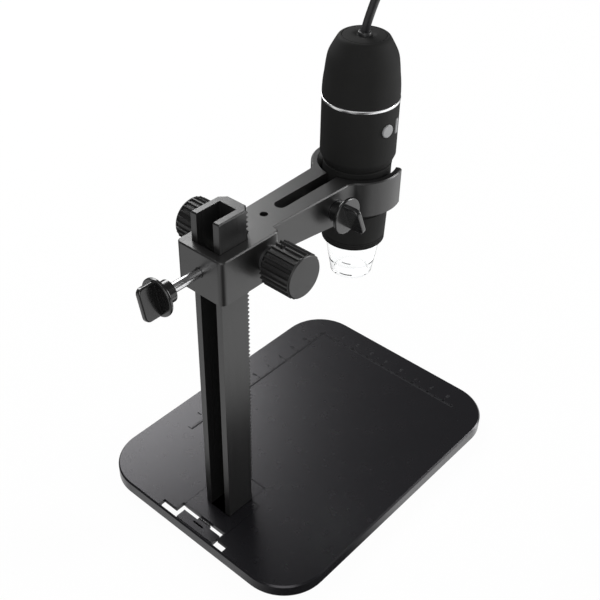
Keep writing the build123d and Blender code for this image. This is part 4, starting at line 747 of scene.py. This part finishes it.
def dress(look: Look, *nodes: str) -> None:
    """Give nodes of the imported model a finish.

    Args:
        look: The finish.
        nodes: Names of the nodes.
    """
    for node in nodes:
        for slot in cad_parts[node].material_slots:
            slot.material = material_of(look)
        LOG.info("%s keeps its solid", node)


# The object

@dataclass
class Ruler:
    """Rulers printed on the base, in millimetres."""

    top: float = 6.5
    sunk: float = 0.01
    proud: float = 0.03
    side_x: float = 45.4
    front_y: float = -64.6
    zero_y: float = 35.6
    side_length: int = 100
    front_length: int = 86
    line: float = 0.7
    tick_width: float = 0.32
    ticks: tuple[tuple[float, int], ...] = ((1.2, 1), (1.9, 5), (2.7, 10))
    digit: float = 3.3
    bold: float = 0.14
    digit_gap: float = 5.2
    digit_step: int = 10

    def bar(self, zero: Plan, along: int, ends: Plan, sides: Plan) -> Piece:
        """One printed bar.

        Args:
            zero: Place of the ruler's zero in plan.
            along: 0 for a ruler along X, 1 for one along Y.
            ends: The bar's two ends along the ruler, from the zero.
            sides: Its two sides across the ruler, from the zero.

        Returns:
            The bar.
        """
        low, high = [0.0, 0.0], [0.0, 0.0]
        low[along], high[along] = (zero[along] + end for end in ends)
        low[1 - along], high[1 - along] = (zero[1 - along] + side for side in sorted(sides))
        return block("bar", (*low, self.top - self.sunk), (*high, self.top + self.proud))

    def number(self, value: int, middle: Plan, turn: float) -> Piece:
        """One printed number.

        Args:
            value: The number.
            middle: Its middle in plan.
            turn: Its turn about Z in degrees.

        Returns:
            The number as a mesh.
        """
        deselect()
        place = Vector((*middle, self.top - self.sunk))
        bpy.ops.object.text_add(location=place * MM, rotation=(0, 0, radians(turn)))
        obj = bpy.context.object
        text = obj.data
        text.body = str(value)
        text.size = self.digit * MM
        text.align_x = text.align_y = "CENTER"
        text.extrude = self.proud * MM
        text.offset = self.bold * MM
        bpy.ops.object.convert(target="MESH")
        settle(obj)
        return obj

    def rule(self, name: str, zero: Plan, along: int, length: int, out: float, turn: float) -> None:
        """Print one ruler, which counts from its zero towards minus.

        Args:
            name: Name of the piece.
            zero: Place of its zero in plan.
            along: 0 for a ruler along X, 1 for one along Y.
            length: Its length.
            out: Direction of the marks from the line, 1 or -1.
            turn: Turn of its numbers about Z in degrees.
        """
        group = [self.bar(zero, along, (-length, 0.0), (-self.line / 2, self.line / 2))]
        half = self.tick_width / 2
        for reach, every in self.ticks:
            mark = self.bar(zero, along, (-half, half), (0.0, out * reach))
            step = [0.0, 0.0, 0.0]
            step[along] = -every * MM
            modify(mark, "ARRAY", count=length // every + 1, use_relative_offset=False,
                   use_constant_offset=True, constant_offset_displace=step)
            group.append(mark)
        for value in range(1, (length - 1) // self.digit_step + 1):
            place = list(zero)
            place[along] -= self.digit_step * value
            place[1 - along] += out * self.digit_gap
            group.append(self.number(value, place, turn))
        ride(join(name, group), Body.STAND, "base_black", Look.INK)

    def build(self) -> None:
        """Print both rulers."""
        self.rule("side_ruler", (self.side_x, self.zero_y), 1, self.side_length, 1.0, 90.0)
        self.rule("front_ruler", (self.side_x, self.front_y), 0, self.front_length, -1.0, 0.0)


@dataclass
class StandBase:
    """The base with its foot plate, latch and feet."""

    edge: float = 0.3
    latch_edge: float = 0.25

    def build(self) -> None:
        """Round the mouldings and dress the rest."""
        for node, width, body in (("base_shell", self.edge, Body.STAND), ("column_foot", self.latch_edge, Body.STAND),
                                  ("release_latch", self.latch_edge, Body.LATCH)):
            mould(node, f"{node}_moulding", width, body, "base_black", Look.BASE)
        dress(Look.BALLAST, "ballast_plate")
        dress(Look.SCREW_Z, "ballast_screws", "column_screws")
        dress(Look.PAD, "base_pad", "rear_feet")


@dataclass
class RackColumn:
    """The upright channel and its rack."""

    edge: float = 0.3

    def build(self) -> None:
        """Round the profile's edges and dress the rack."""
        mould("column", "column_profile", self.edge, Body.STAND, "column_black", Look.COLUMN)
        dress(Look.RACK, "rack_strip")


@dataclass
class Carriage:
    """The carriage with its arm and collar."""

    edge: float = 0.3

    def build(self) -> None:
        """Round the moulding and dress what sits in it."""
        mould("carriage_arm", "carriage_moulding", self.edge, Body.CARRIAGE, "arm_black", Look.ARM)
        dress(Look.BRASS, "lock_insert", "pinion_gear")
        dress(Look.BUSH, "shaft_bushes")
        dress(Look.SCREW_X, "clamp_nut", "pinion_shaft")
        dress(Look.SCREW_Z, "knob_grub_screws")


@dataclass
class Knobs:
    """The ribbed focus knobs and the two wing knobs with their screws."""

    rib_edge: float = 0.14
    wing_edge: float = 0.25

    def build(self) -> None:
        """Round the knobs and dress the screws."""
        for node in ("focus_knob_left", "focus_knob_right"):
            mould(node, f"{node}_ribbed", self.rib_edge, Body.PINION, "knob_black", Look.KNOB)
        for node, body in (("lock_knob", Body.LOCK), ("clamp_knob", Body.CLAMP)):
            mould(node, f"{node}_wing", self.wing_edge, body, "wing_black", Look.WING, 3, FINE_EDGE)
        dress(Look.SCREW_Y, "lock_screw")
        dress(Look.NYLON, "lock_tip")
        dress(Look.SCREW_X, "clamp_screw", "clamp_washer")


@dataclass
class CameraHousing:
    """The round casing of the camera, above the collar."""

    sleeve: Profile = ((12.45, 130.1), (14.25, 130.1), (14.45, 130.3), (14.45, 150.8), (14.6, 150.95),
                       (14.6, 151.45), (14.5, 151.6), (13.9, 151.75), (13.8, 151.9), (13.8, 152.3),
                       (12.45, 152.3))
    trim: Profile = ((13.8, 179.3), (15.88, 179.3), (16.0, 179.38), (16.05, 179.52), (16.05, 180.28),
                     (16.0, 180.42), (15.88, 180.5), (13.8, 180.5))
    upper: Profile = ((12.35, 176.7), (13.75, 176.7), (13.75, 180.5), (15.74, 180.5), (15.88, 180.64),
                      (15.86, 183.0), (15.74, 185.4), (15.52, 187.7), (15.2, 190.0), (14.98, 192.0),
                      (14.72, 194.2), (14.45, 196.0), (14.16, 197.4), (13.8, 198.5), (13.25, 199.7),
                      (12.3, 201.5), (11.3, 203.3), (10.72, 204.3), (10.3, 204.85), (9.8, 205.2),
                      (9.3, 205.38), (9.02, 205.36), (8.88, 205.2), (8.88, 203.6), (7.4, 203.6), (7.4, 201.8),
                      (12.15, 195.3), (12.35, 190.0))
    cap: Profile = ((2.74, 203.6), (8.76, 203.6), (8.76, 205.2), (8.62, 205.36), (8.2, 205.46), (7.0, 205.6),
                    (5.6, 205.74), (4.6, 205.78), (4.0, 205.66), (3.5, 205.46), (3.1, 205.36), (2.74, 205.36))
    gland: Profile = ((1.78, 199.8), (2.7, 199.8), (2.7, 202.6), (3.6, 202.6), (3.6, 203.6), (2.7, 203.6),
                      (2.7, 206.4), (2.55, 206.7), (2.3, 206.8), (2.0, 206.8), (1.78, 206.6))
    housing_edge: float = 0.25
    button_edge: float = 0.18

    def build(self) -> None:
        """Turn the casing's rings and dress what is inside."""
        rings = (("sleeve", "grip_sleeve", self.sleeve, "casing_black", Look.CASING),
                 ("bright_ring", "trim_ring", self.trim, "trim_chrome", Look.TRIM),
                 ("upper_casing", "upper_housing", self.upper, "casing_black", Look.CASING),
                 ("domed_cap", "top_cap", self.cap, "casing_black", Look.CASING),
                 ("gland", "cable_gland", self.gland, "cord_rubber", Look.JACKET))
        for name, node, profile, slot, look in rings:
            ride(turned(name, profile, Ends.RING), Body.MICROSCOPE, slot, look, node)
        mould("lower_housing", "lower_casing", self.housing_edge, Body.MICROSCOPE, "casing_black", Look.CASING,
              angle=RIBBED_EDGE)
        for node, body in (("snapshot_button", Body.SNAPSHOT), ("zoom_button", Body.ZOOM)):
            mould(node, f"{node}_cap", self.button_edge, body, "button_grey", Look.BUTTON)
        dress(Look.CHIP, "tact_switches", "image_sensor")
        dress(Look.BOARD, "switch_board", "main_board")
        dress(Look.SCREW_Z, "board_screws")
        dress(Look.JACKET, "cord_tail")


@dataclass
class Optics:
    """The focus barrel, the clear tip, the lens and the lights."""

    tip: Profile = ((7.2, 95.3), (9.0, 95.3), (9.2, 95.52), (11.2, 107.3), (12.06, 113.4), (12.08, 114.9),
                    (11.08, 114.9), (11.08, 113.5), (10.2, 107.3), (9.25, 101.65), (6.5, 101.6), (6.4, 101.5),
                    (6.4, 100.9), (6.5, 100.8), (9.11, 100.75), (8.37, 96.3), (7.2, 96.2))
    lamp: Profile = ((1.5, 115.3), (1.5, 114.85), (1.22, 114.8), (1.2, 114.4), (1.05, 114.05),
                     (0.75, 113.82), (0.4, 113.72), (0.05, 113.7))
    lamps: int = 8
    lamp_ring: float = 8.6
    lamp_faces: int = 32
    barrel_edge: float = 0.15

    def build(self) -> None:
        """Turn the tip and the lamps and dress the rest."""
        mould("focus_barrel", "knurled_barrel", self.barrel_edge, Body.FOCUS_RING, "casing_black", Look.CASING,
              angle=RIBBED_EDGE)
        tip = turned("clear_cone", self.tip, Ends.RING)
        ride(tip, Body.FOCUS_RING, "clear_plastic", Look.CLEAR, "clear_tip")
        first = turned("lamp", self.lamp, Ends.SOLID, (self.lamp_ring, AXIS_Y, 0.0), self.lamp_faces)
        axis = Matrix.Translation((0, AXIS_Y * MM, 0))
        turns = [axis @ Matrix.Rotation(2 * pi * n / self.lamps, 4, "Z") @ axis.inverted()
                 for n in range(1, self.lamps)]
        lamps = repeat("ring_lamps", first, turns)
        ride(lamps, Body.MICROSCOPE, "led_white", Look.LAMP, "leds")
        dress(Look.BOARD, "led_board")
        dress(Look.OPTIC, "lens_tube", "lens_carrier")
        dress(Look.GLASS, "objective_lens")


@dataclass
class CordAndPlug:
    """The cord from the cap to its coil, the tie and the plug, in millimetres.

    The boxes of the plug are measured from the place where the cord enters it.
    """

    exit: Point = (0.0, -26.0, 206.8)
    rise: tuple[Point, ...] = ((-1.4, -1.0, 7.8), (-6.8, -1.2, 22.2), (-19.5, -0.4, 40.2), (-42.5, 1.1, 54.2),
                               (-72.0, 1.6, 57.2), (-100.0, 1.9, 47.2), (-122.0, 1.6, 22.2),
                               (-134.0, 1.2, -14.8), (-139.5, 1.1, -56.8))
    fall: tuple[Point, ...] = ((-144.5, -24.9, 106.0), (-145.2, -24.2, 69.0), (-145.8, -23.0, 40.0),
                               (-148.6, -21.8, 17.5))
    radius: float = 1.75
    landing: float = 19.3
    straight: float = 3.5
    coil_x: float = -180.0
    coil_y: float = -42.0
    coil_outer: float = 21.5
    coil_pitch: float = 3.98
    turns_in: float = 2.75
    turns_out: float = 2.5
    start_turn: float = 0.25
    climb: float = 0.5
    base_z: float = 2.65
    points_per_turn: int = 16
    lead_run: float = 11.0
    lead_bends: int = 3
    plug_z: float = 4.2
    length: float = 975.0
    grip: Box = ((7.0, -7.8, -4.2), (22.0, 7.8, 4.2))
    grip_corner: float = 2.0
    neck: tuple[Point, ...] = ((1.2, 0.7, 0.9), (1.2, 0.68, 0.86), (1.0, 0.9, 0.94), (0.1, 0.84, 0.84),
                               (0.8, 1.0, 1.0), (0.1, 1.19, 1.19), (0.8, 0.98, 0.98), (0.1, 0.84, 0.84),
                               (0.8, 1.0, 1.0), (0.1, 1.19, 1.19), (0.8, 0.98, 0.98))
    socket: Box = ((15.0, -6.05, -2.3), (24.0, 6.05, 2.3))
    window: Box = ((30.0, -1.0, -5.0), (32.0, 1.0, 5.0))
    window_side: float = 2.6
    contact: Box = ((22.0, -4.0, -0.06), (38.2, -3.0, 0.1))
    contact_steps: Point = (2.3, 4.7, 7.0)
    edge: float = 0.3
    shell_edge: float = 0.1
    contact_edge: float = 0.05

    def coil(self, turn: float) -> tuple[Vector, Vector]:
        """Place on the coil after a number of turns, and its direction there.

        Args:
            turn: Turns from its start.

        Returns:
            The place, and the direction along the floor, of length 1.
        """
        past = turn - self.turns_in
        inner = self.coil_outer - self.coil_pitch * self.turns_in
        radius = inner + self.coil_pitch * abs(past)
        share = min(max(past / self.climb + 0.5, 0.0), 1.0)
        height = self.base_z + self.coil_pitch * share * share * (3 - 2 * share)
        angle = 2 * pi * (turn + self.start_turn)
        outward, forward = Vector((cos(angle), sin(angle), 0)), Vector((-sin(angle), cos(angle), 0))
        slope = self.coil_pitch * (-1 if past < 0 else 1)
        place = Vector((self.coil_x + radius * cos(angle), self.coil_y + radius * sin(angle), height))
        return place, (outward * slope + forward * 2 * pi * radius).normalized()

    def route(self) -> list[Vector]:
        """Control points of the whole cord.

        Returns:
            The points, from the cap to the plug.
        """
        start = Vector(self.exit)
        points = [start, *(start + Vector(step) for step in self.rise), *(Vector(place) for place in self.fall)]
        first, heading = self.coil(0.0)
        landing = first - heading * self.straight
        points += [landing - heading * self.landing, landing]
        turns = self.turns_in + self.turns_out
        count = round(turns * self.points_per_turn)
        points += [self.coil(turns * n / count)[0] for n in range(count + 1)]
        heading = self.coil(turns)[1]
        for run in (self.straight, self.lead_run):
            points.append(points[-1] + heading * run)
        drop = (points[-1].z - self.plug_z) / (self.lead_bends - 1)
        for number in range(1, self.lead_bends + 1):
            turn = pi / 2 * (number / self.lead_bends - 1)
            fall = drop if number < self.lead_bends else 0.0
            points.append(points[-1] + Vector((self.lead_run * cos(turn), self.lead_run * sin(turn), -fall)))
        return points

    def curve(self, name: str, depth: float) -> Piece:
        """The cord's line as a smooth curve.

        Args:
            name: Name of the object.
            depth: Radius of its tube, or 0 for the bare line.

        Returns:
            The curve object.
        """
        data = bpy.data.curves.new(name, "CURVE")
        data.dimensions = "3D"
        data.resolution_u = 8
        data.bevel_depth = depth * MM
        data.bevel_resolution = 5
        data.use_fill_caps = depth > 0
        spline = data.splines.new("NURBS")
        points = self.route()
        spline.points.add(len(points) - 1)
        for point, place in zip(spline.points, points):
            point.co = (*(place * MM), 1.0)
        spline.order_u = 3
        spline.use_endpoint_u = True
        return linked(name, data)

    @staticmethod
    def plug_block(name: str, box: Box, start: Vector, side: float = 0.0) -> Piece:
        """A block of the plug.

        Args:
            name: Name of the block.
            box: Its corners.
            start: Where the cord enters the plug.
            side: Its shift along Y.

        Returns:
            The block.
        """
        low, high = ((start.x + x, start.y + side + y, start.z + z) for x, y, z in box)
        return block(name, low, high)

    def overmould(self, start: Vector) -> Piece:
        """The moulded grip of the plug, which narrows towards the cord.

        Args:
            start: Where the cord enters it.

        Returns:
            The grip.
        """
        grip = self.plug_block("plug_grip", self.grip, start)
        for edge in grip.data.edges:
            ends = [grip.data.vertices[n].co for n in edge.vertices]
            edge.select = abs(ends[0].x - ends[1].x) > MERGE
        edit(grip, Parts.EDGES)
        bpy.ops.mesh.bevel(offset=self.grip_corner * MM, segments=6)
        bpy.ops.object.mode_set(mode="OBJECT")
        for face in grip.data.polygons:
            face.select = face.normal.x < -0.9    # the end towards the cord
        edit(grip, Parts.FACES)
        for step, width, height in self.neck:
            bpy.ops.mesh.extrude_region_move(TRANSFORM_OT_translate={"value": (-step * MM, 0, 0)})
            bpy.ops.transform.resize(value=(1, width, height), center_override=tuple(start * MM))
        bpy.ops.object.mode_set(mode="OBJECT")
        cut(grip, self.plug_block("socket", self.socket, start))
        soften(grip, self.edge, 3, FINE_EDGE)
        return grip

    def shell(self, start: Vector) -> Piece:
        """The metal shell of the plug, with its four windows.

        Args:
            start: Where the cord enters the plug.

        Returns:
            The shell.
        """
        shell = copy_of("plug_shell", "plug_tube")
        for side in (-self.window_side, self.window_side):
            cut(shell, self.plug_block("window", self.window, start, side))
        soften(shell, self.shell_edge)
        return shell

    def contacts(self, start: Vector) -> Piece:
        """The four contacts under the plug's tongue.

        Args:
            start: Where the cord enters the plug.

        Returns:
            The contacts as one mesh.
        """
        first = self.plug_block("contact", self.contact, start)
        soften(first, self.contact_edge)
        moves = [Matrix.Translation((0, step * MM, 0)) for step in self.contact_steps]
        return repeat("plug_contacts", first, moves)

    def build(self) -> None:
        """Lay the cord and finish its plug."""
        line = self.curve("cord_line", 0.0)
        bpy.context.view_layer.update()
        points = bpy.data.meshes.new_from_object(line)
        bpy.data.objects.remove(line)
        cord = self.curve("cord", self.radius)
        pick(cord)
        bpy.ops.object.convert(target="MESH")
        cord = bpy.context.object
        smooth(cord, RIBBED_EDGE)
        ride(cord, None, "cord_rubber", Look.JACKET, "cord_lead", "cord_coil", "plug_lead")
        start = self.route()[-1]
        grip = ride(self.overmould(start), Body.STAND, "cord_rubber", Look.JACKET, "plug_overmould")
        shell = ride(self.shell(start), Body.STAND, "steel", Look.SHELL, "plug_shell")
        contacts = ride(self.contacts(start), Body.STAND, "gear_brass", Look.GOLD)
        tie = mould("cord_tie", "tie_band", self.edge, Body.STAND, "cord_rubber", Look.STRAP, 3)
        dress(Look.NYLON, "plug_tongue")
        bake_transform(cord)


# The studio

@dataclass
class Studio:
    """The pale floor, the lamps and the camera, in metres and degrees."""

    camera_place: Point = (-0.220567, 0.26462, 0.356424)
    elevation: float = 37.656
    azimuth: float = 220.757
    roll: float = 1.26
    focal_pixels: float = 987.635
    picture: int = 600
    sensor: float = 36.0
    floor_size: float = 8.0
    floor_grey: Colour = (0.86, 0.86, 0.86)
    paper: float = 0.965
    dark_level: float = 0.05
    sides: tuple[tuple[float, float, float, float], ...] = ((74.0, 30.0, 22.0, 0.78), (218.0, 30.0, 45.0, 1.2))
    room: float = 0.12
    middle: Point = (0.0, 0.0, 0.08)

    @staticmethod
    def seen(tree: Tree) -> Socket:
        """1 for rays from the camera and through clear pieces, otherwise 0."""
        rays = add_node(tree, "LightPath", {}).outputs
        return calc(tree, "MAXIMUM", rays["Is Camera Ray"], rays["Is Transmission Ray"])

    @staticmethod
    def show(tree: Tree, share: Socket, first: Node, second: Node, output: str) -> None:
        """Mix two shaders and show the result.

        Args:
            tree: The node tree.
            share: Share of the second shader.
            first: The first shader.
            second: The second shader.
            output: Name of the tree's output node.
        """
        mix = add_node(tree, "MixShader", {0: share, 1: first.outputs[0], 2: second.outputs[0]})
        feed(tree, tree.nodes[output], {"Surface": mix.outputs[0]})

    @staticmethod
    def side(tree: Tree, azimuth: float, half: float, edge: float, level: float) -> Socket:
        """Brightness of the paper on one side of the object, as reflections show it.

        Args:
            tree: The floor's node tree.
            azimuth: Direction of the side from +X.
            half: Half of its even part.
            edge: Width of its fading edges.
            level: Brightness of the even part.

        Returns:
            The brightness.
        """
        place = add_node(tree, "TexCoord", {}).outputs["Object"]
        turn = add_node(tree, "Mapping", {"Vector": place, "Rotation": (0, 0, radians(-azimuth))})
        parts = add_node(tree, "SeparateXYZ", {"Vector": turn.outputs["Vector"]}).outputs
        angle = calc(tree, "ABSOLUTE", calc(tree, "ARCTAN2", parts["Y"], parts["X"]))
        inputs = {"Value": angle, "From Min": radians(half), "From Max": radians(half + edge),
                  "To Min": level, "To Max": 0.0}
        return add_node(tree, "MapRange", inputs, interpolation_type="SMOOTHSTEP").outputs["Result"]

    def floor(self) -> None:
        """A wide pale floor, white to the camera and uneven in reflections."""
        deselect()
        bpy.ops.mesh.primitive_plane_add(size=self.floor_size)
        obj = bpy.context.object
        obj.name = "floor"
        material = bpy.data.materials.new("floor_paper")
        material.use_nodes = True
        tree = material.node_tree
        shader = tree.nodes["Principled BSDF"]
        feed(tree, shader, {"Base Color": (*self.floor_grey, 1.0), "Roughness": 0.9})
        seen = self.seen(tree)
        glossy = add_node(tree, "LightPath", {}).outputs["Is Glossy Ray"]
        sides = calc(tree, "ADD", *(self.side(tree, *side) for side in self.sides))
        mirrored = calc(tree, "MULTIPLY", glossy, calc(tree, "ADD", sides, self.dark_level))
        glow = add_node(tree, "Emission", {"Strength": calc(tree, "ADD", seen, mirrored)})
        share = calc(tree, "MULTIPLY_ADD", seen, self.paper, glossy)
        self.show(tree, share, shader, glow, "Material Output")
        obj.data.materials.append(material)

    def world(self) -> None:
        """A dim even room, white to the camera."""
        world = bpy.data.worlds.new("room")
        bpy.context.scene.world = world
        world.use_nodes = True
        tree = world.node_tree
        dim = tree.nodes["Background"]
        feed(tree, dim, {"Color": WHITE, "Strength": self.room})
        white = add_node(tree, "Background", {"Color": WHITE, "Strength": 1.0})
        self.show(tree, self.seen(tree), dim, white, "World Output")

    @staticmethod
    def softbox(name: str, place: Point, target: Point, size: Plan, power: float) -> None:
        """A rectangular lamp.

        Args:
            name: Name of the lamp.
            place: Where it stands.
            target: What it points at.
            size: Its width and height.
            power: Its power in watts.
        """
        data = bpy.data.lights.new(name, "AREA")
        data.shape = "RECTANGLE"
        data.size, data.size_y = size
        data.energy = power
        obj = linked(name, data)
        obj.location = place
        obj.rotation_euler = (Vector(place) - Vector(target)).to_track_quat("Z", "Y").to_euler()

    def lamps(self) -> None:
        """Soft light from the sides, from above, from the front and from behind."""
        self.softbox("side_softbox", (1.1, -0.36, 0.84), self.middle, (1.0, 0.6), 15.5)
        self.softbox("top_softbox", (0.1, 0.5, 1.5), self.middle, (0.9, 0.9), 3.0)
        self.softbox("front_softbox", (-0.85, 1.0, 0.8), self.middle, (1.1, 1.1), 10.0)
        self.softbox("rear_strip", (-0.75, -1.0, 0.45), (0.0, -0.02, 0.15), (0.35, 0.9), 12.0)

    def camera(self) -> None:
        """The camera at the photograph's place."""
        data = bpy.data.cameras.new("camera")
        data.sensor_width = self.sensor
        data.lens = self.focal_pixels / self.picture * self.sensor
        data.clip_start, data.clip_end = 0.01, 50.0
        turn = Euler((radians(90 - self.elevation), 0, radians(self.azimuth))).to_matrix()
        turn = turn @ Matrix.Rotation(radians(self.roll), 3, "Z")
        obj = linked("camera", data)
        obj.matrix_world = Matrix.Translation(self.camera_place) @ turn.to_4x4()
        bpy.context.scene.camera = obj

    def build(self) -> None:
        """Set up the whole studio."""
        bpy.context.scene.view_settings.view_transform = "Standard"
        self.floor()
        self.world()
        self.lamps()
        self.camera()


def main() -> None:
    """Build the studio, then every sub-assembly."""
    logging.basicConfig(level=logging.INFO, format="%(name)s: %(message)s")
    for assembly in (Studio(), CordAndPlug(), StandBase(), Ruler(), RackColumn(), Carriage(), Knobs(),
                     CameraHousing(), Optics()):
        assembly.build()
        LOG.info("%s is built", type(assembly).__name__)


if __name__ == "__main__":
    main()
